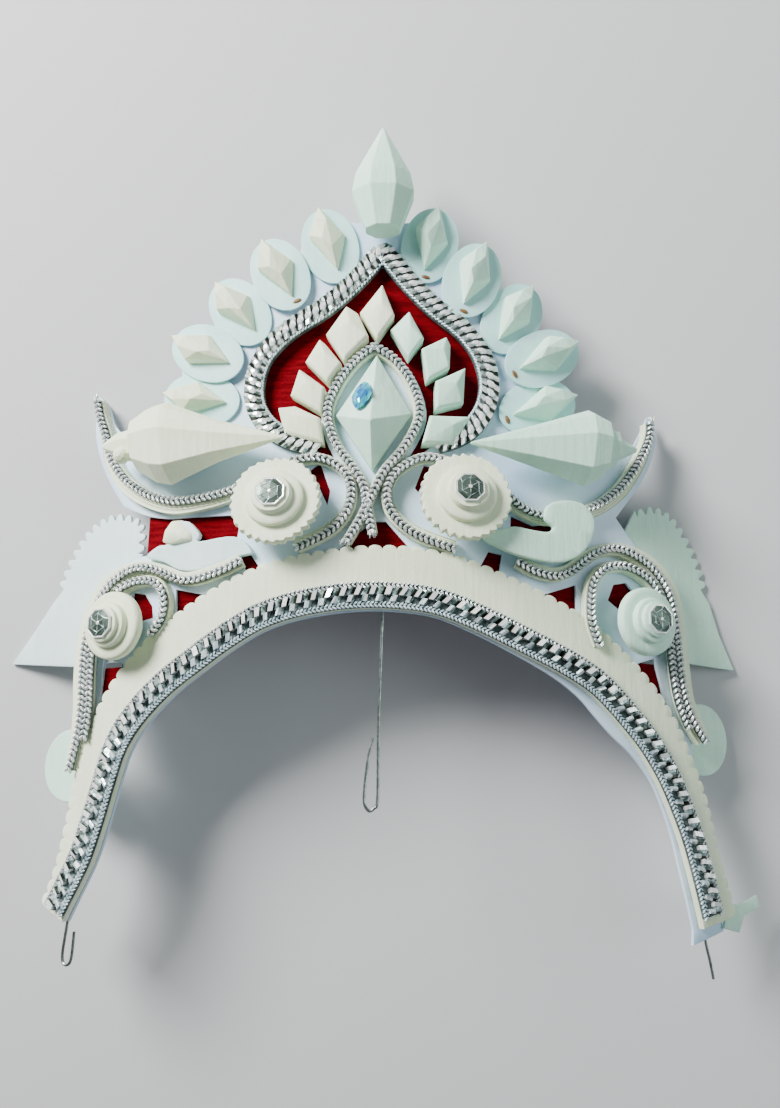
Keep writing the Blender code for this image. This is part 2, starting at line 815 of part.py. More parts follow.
def bent(mesh, place=on_front):
    """The flat mesh creased into columns and bent."""
    work = bmesh.new()
    work.from_mesh(mesh)
    low = min(v.co.x for v in work.verts)
    high = max(v.co.x for v in work.verts)
    for k in range(math.ceil(low / COLUMN), math.floor(high / COLUMN) + 1):
        crease = bmesh.ops.bisect_plane(
            work,
            geom=[*work.verts, *work.edges, *work.faces],
            dist=2e-5,
            plane_co=(k * COLUMN, 0, 0),
            plane_no=(1, 0, 0),
        )
        for edge in crease["geom_cut"]:
            if isinstance(edge, bmesh.types.BMEdge):
                edge.seam = True
    bmesh.ops.dissolve_limit(
        work,
        angle_limit=math.radians(0.5),
        verts=work.verts,
        edges=work.edges,
        delimit={"SEAM"},
    )
    bmesh.ops.triangulate(work, faces=work.faces)
    for vertex in work.verts:
        vertex.co = place(vertex.co)
    work.to_mesh(mesh)
    work.free()
    lie_back(mesh)
    return mesh


def ribbon(path, left, right, foot, thick):
    """A flat strip along a path."""
    edge = beside(path, left)
    other = beside(path, [-r for r in right] if isinstance(right, (list, tuple)) else -right)
    return sheet(edge + other[::-1], foot, thick)


def lace(path, profile, cyclic=False):
    """A profile of (across, height) points swept along a path of the pattern."""
    section = bpy.data.curves.new("section", "CURVE")
    section.dimensions = "2D"
    add_spline(section, [Vector(p) for p in profile], True)
    holder = bpy.data.objects.new("section", section)
    CUTTERS.objects.link(holder)
    curve = bpy.data.curves.new("path", "CURVE")
    curve.dimensions = "2D"
    curve.fill_mode = "NONE"
    curve.bevel_mode = "OBJECT"
    curve.bevel_object = holder
    curve.use_fill_caps = True
    add_spline(curve, path, cyclic)
    mesh = mesh_of(curve)
    bpy.data.objects.remove(holder)
    return mesh


def loft(rings):
    """A closed solid through rings of equal count, with flat ends."""
    work = bmesh.new()
    rows = [[work.verts.new(p) for p in ring] for ring in rings]
    count = len(rows[0])
    for low, high in zip(rows, rows[1:]):
        for k in range(count):
            work.faces.new((low[k], low[(k + 1) % count], high[(k + 1) % count], high[k]))
    work.faces.new(rows[0][::-1])
    work.faces.new(rows[-1])
    bmesh.ops.recalc_face_normals(work, faces=work.faces)
    mesh = bpy.data.meshes.new("loft")
    work.to_mesh(mesh)
    work.free()
    return mesh


def spindle(rings, length, radius, depth, sides):
    """A faceted spindle along +Y, its underside resting at z 0."""
    made = []
    for along, wide, deep in rings:
        ring = []
        for k in range(sides):
            angle = 2 * math.pi * (k + 0.5) / sides
            ring.append(
                Vector(
                    (
                        radius * wide * math.cos(angle) / math.cos(math.pi / sides),
                        length * along,
                        depth + depth * deep * math.sin(angle) / math.cos(math.pi / sides),
                    )
                )
            )
        made.append(ring)
    return loft(made)


def drum(radius, foot, top, sides, top_radius=None):
    mesh = bpy.data.meshes.new("drum")
    work = bmesh.new()
    bmesh.ops.create_cone(
        work,
        cap_ends=True,
        segments=sides,
        radius1=radius,
        radius2=radius if top_radius is None else top_radius,
        depth=top - foot,
        matrix=Matrix.Translation((0, 0, (foot + top) / 2)),
    )
    work.to_mesh(mesh)
    work.free()
    return mesh


def combined(first, other, operation):
    """The first mesh joined with, or cut by, the other."""
    a = bpy.data.objects.new("first", first)
    b = bpy.data.objects.new("other", other)
    for helper in (a, b):
        CUTTERS.objects.link(helper)
    change = a.modifiers.new("change", "BOOLEAN")
    change.operation = operation
    change.object = b
    graph = bpy.context.evaluated_depsgraph_get()
    mesh = bpy.data.meshes.new_from_object(a.evaluated_get(graph))
    for helper in (a, b):
        bpy.data.objects.remove(helper)
    return mesh


def joined(meshes):
    whole = meshes[0]
    for other in meshes[1:]:
        whole = combined(whole, other, "UNION")
    return whole


def keep_clear(made, neighbours, clearance=GAP):
    """Cuts room for its neighbours out of a piece."""
    for neighbour in neighbours:
        room = neighbour.data.copy()
        work = bmesh.new()
        work.from_mesh(room)
        work.normal_update()
        moves = [v.normal * clearance * 1.6 for v in work.verts]
        for vertex, move in zip(work.verts, moves):
            vertex.co += move
        work.to_mesh(room)
        work.free()
        made.data = combined(made.data, room, "DIFFERENCE")


def main():
    clear_scene()
    arch = smooth([at(row) for row in ARCH], 3)
    beyond = smooth([Vector((row[2], row[3])) * HALF_WIDTH for row in ARCH], 3)
    band_edge = [b.x for b in beyond]
    card_edge = [-b.y for b in beyond]
    top = sharp_and_smooth(CARD_TOP, 2)

    # The card: under the band along the arms, and its own outline above them
    hem = beside(arch, [e - 2 * BAND_TOOTH_DEPTH for e in band_edge])
    left_arm = [p for p in hem if p.x < 0 and p.y < top[0].y - GAP]
    right_arm = [p for p in hem if p.x > 0 and p.y < top[-1].y - GAP]
    foot = [at(corner) for corner in CARD_FOOT_RIGHT]
    outline = left_arm + top + right_arm + foot + beside(arch, card_edge)[::-1]
    point = max(range(len(TEARDROP)), key=lambda i: TEARDROP[i][1])
    tear = smooth([at(row) for row in TEARDROP[: point + 1]], 2)[:-1]
    tear += smooth([at(row) for row in TEARDROP[point:]], 2)
    leaf_left = smooth([at(row) for row in LEAF_LEFT], 2)
    leaf_right = smooth([at(row) for row in LEAF_RIGHT], 2)
    before_crossing = 2 * sum(a[0] <= b[0] for a, b in zip(LEAF_LEFT, LEAF_RIGHT)) - 3
    around = leaf_left[1:before_crossing][::-1]
    about = leaf_right[1:before_crossing]
    rim = TEAR_TRIM_WIDTH / 2 - 0.8 * MM
    plate_edge = beside(around, BRAID_WIDTH) + beside(about, BRAID_WIDTH)
    inside_tear = off_line(beside(tear, -rim)[4:-4], tear, rim)
    horseshoe = inside_tear + plate_edge[::-1]
    windows = [[at(corner) for corner in corners] for corners in WINDOWS]
    card = piece("base_card", bent(sheet(outline, 0, CARD_THICK, [horseshoe, *windows])), CARD)
    piece("red_cloth", bent(sheet([at(row) for row in CLOTH], BACK - CLOTH_THICK, CLOTH_THICK)), VELVET)

    # The scalloped band and the silver lace on it
    scallops = toothed(beside(arch, band_edge), BAND_TOOTH, BAND_TOOTH_DEPTH)
    inner_edge = beside(arch, -RIM_TRIM_WIDTH / 2)
    band = piece("rim_band", bent(sheet(scallops + inner_edge[::-1], FRONT, BAND_THICK)), SHOLA)
    half = RIM_TRIM_WIDTH / 2
    foot = BAND_TOP
    low = foot + RIM_TRIM_BORDER
    high = foot + RIM_TRIM_THICK
    profile = (
        (-half, foot),
        (half, foot),
        (half, low),
        (0.55 * half, low),
        (0.40 * half, high),
        (-0.40 * half, high),
        (-0.55 * half, low),
        (-half, low),
    )
    piece("rim_trim", bent(lace(arch[1:-1], profile)), FOIL)

    # Scroll strips, each cut clear of the band, and their braids
    def scroll(side, rows):
        path = smooth([at(row) for row in rows], 2)
        widths = smooth([Vector((row[2], row[3])) * HALF_WIDTH for row in rows], 2)
        out = [w.x for w in widths]
        inn = [w.y for w in widths]
        left, right = (inn, out) if side == "left" else (out, inn)
        return path, ribbon(path, left, right, FRONT, STRIP_THICK)

    def braid(name, path):
        made = ribbon(path, BRAID_WIDTH / 2, BRAID_WIDTH / 2, BRAID_FOOT, BRAID_THICK)
        return piece(name, bent(made), SILVER)

    strips = {}
    braids = {}
    for side, rows in (("left", SCROLL_LEFT), ("right", SCROLL_RIGHT)):
        path, made = scroll(side, rows)
        strips[side] = piece("scroll_strip_" + side, bent(made), SHOLA)
        keep_clear(strips[side], [band])
        braids[side] = braid("scroll_braid_" + side, path)
    for side, rows, hook, down in (
        ("left", SIDE_STRIP_LEFT, HOOK_LEFT, BRAID_DOWN_LEFT),
        ("right", SIDE_STRIP_RIGHT, HOOK_RIGHT, BRAID_DOWN_RIGHT),
    ):
        turned = "right" if side == "left" else "left"
        path, made = scroll(turned, rows)
        _, hook_mesh = scroll("left" if side == "left" else "right", hook)
        strip = piece("side_strip_" + side, bent(joined([made, hook_mesh])), SHOLA)
        keep_clear(strip, [band])
        strips["side_" + side] = strip
        braids["side_" + side] = braid("side_braid_outer_" + side, path)
        inner = [at(row) for row in hook][::-1] + [at(row) for row in down]
        braids["hook_" + side] = braid("side_braid_inner_" + side, smooth(inner, 2))
    leaf = joined(
        [
            ribbon(leaf_left, BRAID_WIDTH / 2 + 0.6 * MM, BRAID_WIDTH / 2, FRONT, STRIP_THICK),
            ribbon(leaf_right, BRAID_WIDTH / 2, BRAID_WIDTH / 2 + 0.6 * MM, FRONT, STRIP_THICK),
        ]
    )
    leaf_strip = piece("leaf_strip", bent(leaf), SHOLA)
    keep_clear(leaf_strip, [strips["left"], strips["right"], band])
    crossing = joined(
        [
            ribbon(line, BRAID_WIDTH / 2, BRAID_WIDTH / 2, BRAID_FOOT, BRAID_THICK)
            for line in (leaf_left, leaf_right)
        ]
    )
    leaf_braid = piece("leaf_braid", bent(crossing), SILVER)

    # The teardrop's lace
    half = TEAR_TRIM_WIDTH / 2
    top_height = FRONT + TEAR_TRIM_THICK
    profile = (
        (-half, FRONT),
        (half, FRONT),
        (half, FRONT + 0.55 * TEAR_TRIM_THICK),
        (0.45 * half, top_height),
        (-0.45 * half, top_height),
        (-half, FRONT + 0.55 * TEAR_TRIM_THICK),
    )
    tear_trim = piece("teardrop_trim", bent(lace(tear, profile)), FOIL)
    crossed = [strips["left"], strips["right"], braids["left"], braids["right"], leaf_strip, leaf_braid]
    keep_clear(tear_trim, crossed)

    # The carved spindles
    finial_mesh = spindle(FINIAL_RINGS, FINIAL_LENGTH, FINIAL_RADIUS, FINIAL_DEPTH, 8)
    finial_mesh.transform(seat(*at(FINIAL_AT), FRONT))
    lie_back(finial_mesh)
    finial = piece("finial", finial_mesh, SHOLA)
    keep_clear(tear_trim, [finial])
    conches = {}
    for side, place, rings, length, radius in (
        ("left", CONCH_LEFT_AT, CONCH_RINGS_LEFT, CONCH_LENGTH_LEFT, CONCH_RADIUS_LEFT),
        ("right", CONCH_RIGHT_AT, CONCH_RINGS_RIGHT, CONCH_LENGTH_RIGHT, CONCH_RADIUS_RIGHT),
    ):
        mesh = spindle(rings, length, radius, CONCH_DEPTH, 8)
        tip = at(place)
        turn = math.radians(place[2])
        middle = tip + Vector((-math.sin(turn), math.cos(turn))) * length / 2
        mesh.transform(Matrix.Translation((0, -length / 2, 0)))
        mesh.transform(seat(*middle, FRONT + GAP, turn))
        lie_back(mesh)
        conches[side] = piece("conch_" + side, mesh, SHOLA)
        keep_clear(tear_trim, [conches[side]])

    # Petals: a thin oval with a carved lozenge, cut clear of the lace
    for name, across, up, turn, layer in OUTER_PETALS:
        centre = at((across, up))
        foot = FRONT + layer * (PETAL_THICK + GAP)
        turn = math.radians(turn)
        oval = [
            Vector((PETAL_WIDTH / 2 * math.cos(a), PETAL_LENGTH / 2 * math.sin(a)))
            for a in (2 * math.pi * k / 20 for k in range(20))
        ]
        disc = sheet(oval, 0, PETAL_THICK)
        lozenge = petal_lozenge()
        mesh = joined([disc, lozenge])
        mesh.transform(Matrix.Translation((*centre, foot)) @ Matrix.Rotation(turn, 4, "Z"))
        petal = piece("petal_" + name, bent(mesh), SHOLA)
        side = name.split("_")[0]
        keep_clear(petal, [tear_trim, finial] if name.endswith("1") else [tear_trim])
        if name.endswith("5"):
            keep_clear(petal, [conches[side], strips[side]])

    # Chips round the leaf
    for name, *corners in INNER_PETALS:
        points = [at(corner) for corner in corners]
        middle = sum(points, Vector((0, 0))) / len(points)
        inset = [p + (middle - p).normalized() * CHIP_INSET for p in points]
        heights = [CHIP_HIGH if inner else CHIP_LOW for _, _, inner in corners]
        bottom = [Vector((*p, BACK + GAP)) for p in inset]
        upper = [Vector((*p.lerp(middle, 0.06), FRONT + h)) for p, h in zip(inset, heights)]
        chip = piece("chip_" + name, bent(loft([bottom, upper])), SHOLA)
        keep_clear(chip, [card, leaf_strip, leaf_braid, tear_trim])

    # The middle diamond and its stone
    corners = [at(corner) for corner in DIAMOND]
    peak = at(DIAMOND_PEAK)
    rings = [[Vector((*p, FRONT)) for p in corners], [Vector((*p, FRONT + DIAMOND_SIDE)) for p in corners]]
    rings.append([Vector((*peak.lerp(p, 0.04), FRONT + DIAMOND_HEIGHT)) for p in corners])
    diamond = piece("leaf_diamond", bent(loft(rings)), SHOLA)
    keep_clear(diamond, [leaf_strip, leaf_braid])
    piece("blue_stone", cut_stone(corners, peak), STONE)

    # Rosettes and domes on their bosses, each with its mirror
    for side, across, up in ROSETTES:
        rosette(side, at((across, up)))
    for side, across, up in DOMES:
        dome(side, at((across, up)))

    # Curls beside the rosettes
    outline = smooth([at(p) for p in CURL_LEFT], 1, True)
    left = piece("curl_left", bent(sheet(outline, FRONT, CURL_THICK)), SHOLA)
    keep_clear(left, [strips["side_left"], strips["left"]])
    plate = sheet(smooth([at(p) for p in CURL_RIGHT], 1, True), OVER_BRAID, CURL_THICK)
    lump = drum(CURL_RIGHT_HEAD[2] * HALF_WIDTH, FRONT, OVER_BRAID + CURL_THICK / 2, 12)
    lump.transform(Matrix.Translation((*at((CURL_RIGHT_HEAD[0], CURL_RIGHT_HEAD[1] - 0.030)), 0)))
    right = piece("curl_right", bent(joined([plate, lump])), SHOLA)
    keep_clear(right, [strips["side_right"], strips["right"]])

    # Wings and side discs behind the card
    for side, rows in (("left", WING_LEFT), ("right", WING_RIGHT)):
        wing(side, rows)
    for side, across, up in SIDE_DISCS:
        mesh = drum(SIDE_DISC_RADIUS, 0, SIDE_DISC_THICK, 24)
        mesh.transform(Matrix.Translation((*at((across, up)), BACK - SIDE_DISC_THICK)))
        piece("side_disc_" + side, bent(mesh), SHOLA)
    scrap = piece("ear_scrap_right", bent(sheet([at(p) for p in SCRAP], FRONT, SCRAP_THICK)), SHOLA)
    keep_clear(scrap, [band])

    # Hook wires glued behind the card
    for name, rows in (("middle", WIRE_MIDDLE), ("left", WIRE_LEFT), ("right", WIRE_RIGHT)):
        wire(name, rows)
    stand_on_floor()


def petal_lozenge():
    """A long faceted chip whose ridge leans to one side."""
    half = LOZENGE_LENGTH / 2
    wide = LOZENGE_WIDTH / 2
    shift = 0.08 * PETAL_LENGTH
    ends = ((0, half + shift), (-wide, 0.18 * half + shift), (0, -half + shift), (wide, -0.05 * half + shift))
    bottom = [Vector((x, y, PETAL_THICK / 2)) for x, y in ends]
    middle = [Vector((x, y, PETAL_THICK + 0.35 * LOZENGE_HEIGHT)) for x, y in ends]
    crown = [
        Vector((-0.15 * wide, 0.62 * half + shift, PETAL_THICK + 0.8 * LOZENGE_HEIGHT)),
        Vector((-0.45 * wide, 0.12 * half + shift, PETAL_THICK + LOZENGE_HEIGHT)),
        Vector((0.05 * wide, -0.55 * half + shift, PETAL_THICK + 0.8 * LOZENGE_HEIGHT)),
        Vector((0.35 * wide, 0.0 * half + shift, PETAL_THICK + LOZENGE_HEIGHT)),
    ]
    return loft([bottom, middle, crown])


def cut_stone(corners, peak):
    """A pointed oval stone with a table and a ring of facets, on the diamond's left face."""
    middle = Vector((*peak, FRONT + DIAMOND_HEIGHT))
    top_corner = Vector((*corners[0], FRONT + DIAMOND_SIDE))
    left_corner = Vector((*corners[1], FRONT + DIAMOND_SIDE))
    out = (top_corner - middle).cross(left_corner - middle).normalized()
    place = at(STONE_AT)
    height = middle.z - (out.x * (place.x - middle.x) + out.y * (place.y - middle.y)) / out.z
    foot = Vector((*place, height)) + out * STONE_LIFT
    upward = Vector((0, 1, 0))
    side = upward.cross(out).normalized()
    up = out.cross(side)
    rings = []
    for share, z in ((0.86, 0.0), (1.0, 0.30), (0.55, 1.0)):
        ring = []
        for k in range(12):
            a = 2 * math.pi * k / 12
            x = STONE_WIDTH / 2 * math.cos(a) * (1 - 0.22 * abs(math.sin(a)))
            y = STONE_LENGTH / 2 * math.sin(a)
            ring.append(foot + side * x * share + up * y * share + out * (STONE_HEIGHT * z))
        rings.append(ring)
    mesh = loft(rings)
    for vertex in mesh.vertices:
        vertex.co = on_front(vertex.co)
    lie_back(mesh)
    return mesh


def mirror(name, frame, height):
    """An eight-sided mirror chip with a bevelled edge."""
    glass = drum(MIRROR_RADIUS, height + GAP, height + GAP + MIRROR_THICK, 8, 0.72 * MIRROR_RADIUS)
    glass.transform(frame)
    lie_back(glass)
    piece(name, glass, MIRROR)


def rosette(side, centre):
    """A toothed disc with two rings on it, standing on a boss inside the scroll."""
    frame = seat(*centre, FRONT, 0, ROSETTE_LEAN)
    foot = OVER_BRAID - FRONT + ROSETTE_RADIUS * math.sin(ROSETTE_LEAN) + GAP
    teeth = []
    for k in range(2 * ROSETTE_TEETH):
        a = math.pi * k / ROSETTE_TEETH
        r = ROSETTE_RADIUS - (ROSETTE_TOOTH_DEPTH if k % 2 else 0)
        teeth.append(Vector((r * math.cos(a), r * math.sin(a))))
    lean_room = BOSS_RADIUS * math.sin(ROSETTE_LEAN)
    levels = [foot, foot + ROSETTE_THICK, foot + 1.9 * ROSETTE_THICK, foot + 2.7 * ROSETTE_THICK]
    meshes = [
        drum(BOSS_RADIUS, lean_room + GAP, foot + ROSETTE_THICK / 2, 12),
        sheet(teeth, levels[0], ROSETTE_THICK),
        drum(0.63 * ROSETTE_RADIUS, levels[1] - 0.5 * MM, levels[2], 20, 0.58 * ROSETTE_RADIUS),
        drum(0.44 * ROSETTE_RADIUS, levels[2] - 0.5 * MM, levels[3], 16, 0.38 * ROSETTE_RADIUS),
    ]
    whole = joined(meshes)
    whole.transform(frame)
    lie_back(whole)
    piece("rosette_" + side, whole, SHOLA)
    mirror("rosette_mirror_" + side, frame, levels[3])


def dome(side, centre):
    """A plain thick disc with a ring and a button on it, standing on a boss inside the hook."""
    frame = seat(*centre, FRONT) @ Matrix.Rotation(math.copysign(DOME_LEAN, centre.x), 4, "Y")
    foot = OVER_BRAID - FRONT + DOME_RADIUS * math.sin(DOME_LEAN) + GAP
    lean_room = BOSS_RADIUS * math.sin(DOME_LEAN)
    levels = [foot, foot + DOME_THICK, foot + 1.7 * DOME_THICK, foot + 2.2 * DOME_THICK]
    meshes = [
        drum(BOSS_RADIUS, lean_room + GAP, foot + DOME_THICK / 2, 12),
        drum(DOME_RADIUS, levels[0], levels[1], 24, 0.96 * DOME_RADIUS),
        drum(0.66 * DOME_RADIUS, levels[1] - 0.5 * MM, levels[2], 20, 0.60 * DOME_RADIUS),
        drum(0.52 * DOME_RADIUS, levels[2] - 0.5 * MM, levels[3], 16, 0.48 * DOME_RADIUS),
    ]
    whole = joined(meshes)
    whole.transform(frame)
    lie_back(whole)
    piece("dome_" + side, whole, SHOLA)
    mirror("dome_mirror_" + side, frame, levels[3])


def wing(side, rows):
    """A thin curled sheet with teeth along its outer edge."""
    points = [at(row) for row in rows]
    first = next(i for i, row in enumerate(rows) if row[2])
    last = max(i for i, row in enumerate(rows) if row[2]) + 1
    edge = smooth(points[first : last + 1], 3)
    depth = WING_TOOTH_DEPTH if side == "left" else -WING_TOOTH_DEPTH
    cut = toothed(edge, WING_TOOTH, depth)
    outline = points[:first] + cut + points[last + 1 :]
    piece("wing_" + side, bent(sheet(outline, BACK - WING_THICK, WING_THICK), on_wing), SHOLA)


def wire(name, rows):
    """A bent steel wire glued behind the card."""
    points = [Vector((*at(row), row[2] * HALF_WIDTH - WIRE_RADIUS)) for row in rows]
    path = [on_front(p) for p in smooth(points, 3)]
    curve = bpy.data.curves.new("wire", "CURVE")
    curve.dimensions = "3D"
    curve.bevel_depth = WIRE_RADIUS
    curve.bevel_resolution = 1
    curve.use_fill_caps = True
    add_spline(curve, path, False)
    mesh = mesh_of(curve)
    lie_back(mesh)
    piece("wire_" + name, mesh, STEEL)


def stand_on_floor():
    """Moves the crown so that it lies on z 0, centred over the origin."""
    corners = [v.co for part in PARTS.objects for v in part.data.vertices]
    low = Vector([min(c[k] for c in corners) for k in range(3)])
    high = Vector([max(c[k] for c in corners) for k in range(3)])
    shift = Vector((-(low.x + high.x) / 2, -(low.y + high.y) / 2, -low.z))
    for part in PARTS.objects:
        part.data.transform(Matrix.Translation(shift))


PARTS = collection("shola_wedding_crown")
CUTTERS = collection("outlines", hidden=True)
main()
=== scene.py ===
"""The looks of a shola wedding crown: carved pith on pierced card, red velvet, silver lace and mirrors."""

import logging
import math
import random
from collections.abc import Callable, Sequence
from dataclasses import dataclass, field
from enum import Enum, IntEnum

import bmesh
import bpy
import numpy as np
from mathutils import Matrix, Vector

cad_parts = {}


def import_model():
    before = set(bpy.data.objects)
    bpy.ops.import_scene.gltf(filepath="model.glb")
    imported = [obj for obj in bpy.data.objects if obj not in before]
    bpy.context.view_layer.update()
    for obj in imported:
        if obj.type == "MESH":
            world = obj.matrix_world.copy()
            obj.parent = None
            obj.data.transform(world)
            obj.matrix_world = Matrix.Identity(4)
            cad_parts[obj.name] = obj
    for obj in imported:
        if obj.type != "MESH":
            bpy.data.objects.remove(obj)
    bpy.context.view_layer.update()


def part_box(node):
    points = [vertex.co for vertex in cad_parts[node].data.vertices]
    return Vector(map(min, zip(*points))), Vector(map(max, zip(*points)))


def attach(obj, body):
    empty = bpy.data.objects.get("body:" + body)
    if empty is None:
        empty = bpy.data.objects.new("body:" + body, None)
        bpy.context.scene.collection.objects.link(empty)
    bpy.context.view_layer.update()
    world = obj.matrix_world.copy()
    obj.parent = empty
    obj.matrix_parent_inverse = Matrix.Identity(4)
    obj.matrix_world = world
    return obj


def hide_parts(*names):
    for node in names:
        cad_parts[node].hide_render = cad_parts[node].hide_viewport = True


log = logging.getLogger("shola_crown")

MM = 0.001
UNIT = 100 * MM  # the tables' across and up are shares of this

# Layers, counted from the card's back
GAP = 0.3 * MM
CARD_THICK = 1.2 * MM
CLOTH_THICK = 1.2 * MM
BAND_THICK = 2.5 * MM
STRIP_THICK = 3.0 * MM
BRAID_THICK = 1.8 * MM
BRAID_WIDTH = 2.6 * MM
FRONT = CARD_THICK + GAP
BACK = -GAP
BRAID_FOOT = FRONT + STRIP_THICK + GAP
OVER_BRAID = BRAID_FOOT + BRAID_THICK + GAP
BAND_TOP = FRONT + BAND_THICK + GAP

# The arch: the middle of its silver lace from the left ear to the right, with how far the
# scalloped band goes beyond it, and how far the bare card goes below it
ARCH = (
    # across, up, band beyond, card below
    (-1.100, -0.965, 0.058, 0.044),
    (-1.068, -0.908, 0.062, 0.044),
    (-1.034, -0.850, 0.072, 0.043),
    (-0.992, -0.770, 0.092, 0.043),
    (-0.951, -0.653, 0.106, 0.043),
    (-0.915, -0.533, 0.118, 0.042),
    (-0.878, -0.425, 0.122, 0.042),
    (-0.815, -0.330, 0.138, 0.042),
    (-0.714, -0.230, 0.152, 0.042),
    (-0.607, -0.152, 0.159, 0.042),
    (-0.500, -0.078, 0.155, 0.043),
    (-0.380, -0.012, 0.150, 0.045),
    (-0.230, 0.030, 0.148, 0.047),
    (-0.040, 0.050, 0.152, 0.048),
    (0.156, 0.034, 0.155, 0.047),
    (0.300, -0.016, 0.158, 0.048),
    (0.463, -0.092, 0.164, 0.050),
    (0.600, -0.158, 0.158, 0.058),
    (0.701, -0.218, 0.142, 0.070),
    (0.767, -0.277, 0.141, 0.077),
    (0.827, -0.340, 0.139, 0.076),
    (0.883, -0.404, 0.132, 0.064),
    (0.928, -0.468, 0.123, 0.054),
    (0.966, -0.533, 0.110, 0.048),
    (1.004, -0.616, 0.108, 0.049),
    (1.040, -0.705, 0.096, 0.054),
    (1.066, -0.790, 0.088, 0.059),
    (1.095, -0.900, 0.094, 0.061),
    (1.118, -1.000, 0.098, 0.062),
)

# The card's own two corners below the right arm's lace
CARD_FOOT_RIGHT = ((1.190, -1.025), (1.052, -1.062))

# The card above the arch, from the left side scroll over the top to the right one.
# A sharp row is a corner, and the rows between corners are one smooth stretch
CARD_TOP = (
    # across, up, sharp
    (-1.050, -0.480, True),
    (-1.055, -0.380, False),
    (-1.062, -0.200, False),
    (-1.055, -0.070, False),
    (-1.030, 0.035, False),
    (-0.985, 0.115, False),
    (-0.920, 0.178, False),
    (-0.835, 0.215, True),
    (-0.600, 0.225, False),
    (-0.485, 0.235, True),
    (-0.470, 0.335, True),
    (-0.640, 0.338, False),
    (-0.740, 0.340, False),
    (-0.830, 0.360, False),
    (-0.920, 0.400, True),
    (-0.990, 0.500, False),
    (-1.040, 0.600, False),
    (-1.065, 0.700, False),
    (-1.055, 0.825, True),
    (-1.010, 0.775, False),
    (-0.975, 0.700, False),
    (-0.900, 0.630, True),
    (-0.760, 0.640, True),
    (-0.745, 0.740, False),
    (-0.705, 0.835, True),
    (-0.705, 0.930, False),
    (-0.655, 0.985, False),
    (-0.590, 1.010, True),
    (-0.585, 1.085, False),
    (-0.535, 1.140, False),
    (-0.450, 1.160, True),
    (-0.435, 1.235, False),
    (-0.370, 1.275, False),
    (-0.285, 1.270, True),
    (-0.255, 1.345, False),
    (-0.185, 1.385, False),
    (-0.080, 1.375, True),
    (0.000, 1.400, True),
    (0.080, 1.375, True),
    (0.180, 1.380, False),
    (0.245, 1.335, False),
    (0.260, 1.265, True),
    (0.335, 1.245, False),
    (0.390, 1.200, False),
    (0.405, 1.135, True),
    (0.490, 1.115, False),
    (0.540, 1.060, False),
    (0.545, 0.995, True),
    (0.615, 0.950, False),
    (0.635, 0.880, False),
    (0.605, 0.805, True),
    (0.625, 0.735, False),
    (0.645, 0.665, False),
    (0.640, 0.610, True),
    (0.860, 0.565, True),
    (0.915, 0.630, False),
    (0.975, 0.735, True),
    (1.005, 0.660, False),
    (0.980, 0.570, False),
    (0.935, 0.490, False),
    (0.870, 0.410, False),
    (0.820, 0.350, True),
    (0.900, 0.250, False),
    (0.970, 0.185, False),
    (1.020, 0.105, False),
    (1.045, 0.010, False),
    (1.050, -0.110, False),
    (1.060, -0.230, False),
    (1.085, -0.320, False),
    (1.095, -0.400, False),
    (1.090, -0.460, True),
)

# The silver teardrop, from its left foot over the point to its right foot
TEARDROP = (
    # across, up
    (-0.210, 0.560),
    (-0.275, 0.573),
    (-0.330, 0.598),
    (-0.383, 0.640),
    (-0.422, 0.705),
    (-0.430, 0.790),
    (-0.400, 0.885),
    (-0.316, 0.974),
    (-0.193, 1.052),
    (-0.092, 1.144),
    (-0.025, 1.225),
    (0.005, 1.262),
    (0.033, 1.225),
    (0.094, 1.144),
    (0.176, 1.056),
    (0.277, 0.972),
    (0.338, 0.887),
    (0.363, 0.790),
    (0.348, 0.700),
    (0.300, 0.625),
    (0.245, 0.588),
    (0.185, 0.566),
)

# The leaf round the middle, its two braids crossing at the foot
LEAF_LEFT = (
    # across, up
    (-0.023, 0.898),
    (-0.085, 0.850),
    (-0.145, 0.765),
    (-0.176, 0.668),
    (-0.150, 0.563),
    (-0.095, 0.480),
    (-0.058, 0.415),
    (-0.045, 0.340),
    (-0.030, 0.255),
)
LEAF_RIGHT = (
    (-0.023, 0.898),
    (0.045, 0.850),
    (0.103, 0.762),
    (0.125, 0.655),
    (0.078, 0.548),
    (0.012, 0.464),
    (-0.025, 0.388),
    (-0.060, 0.310),
    (-0.108, 0.225),
)

# Crescent scrolls: each runs from its horn, under the rosette and round to its foot
SCROLL_LEFT = (
    # across, up, strip outward, strip inward
    (-1.025, 0.790, 0.014, 0.014),
    (-1.010, 0.730, 0.022, 0.016),
    (-0.981, 0.660, 0.030, 0.016),
    (-0.955, 0.575, 0.036, 0.016),
    (-0.904, 0.500, 0.040, 0.016),
    (-0.840, 0.446, 0.042, 0.016),
    (-0.764, 0.407, 0.042, 0.016),
    (-0.690, 0.388, 0.040, 0.016),
    (-0.590, 0.392, 0.036, 0.016),
    (-0.490, 0.412, 0.030, 0.016),
    (-0.420, 0.448, 0.022, 0.016),
    (-0.321, 0.492, 0.016, 0.016),
    (-0.222, 0.512, 0.016, 0.018),
    (-0.152, 0.490, 0.016, 0.018),
    (-0.106, 0.440, 0.016, 0.018),
    (-0.096, 0.375, 0.018, 0.018),
    (-0.118, 0.310, 0.022, 0.018),
    (-0.172, 0.255, 0.028, 0.016),
    (-0.269, 0.208, 0.030, 0.016),
)
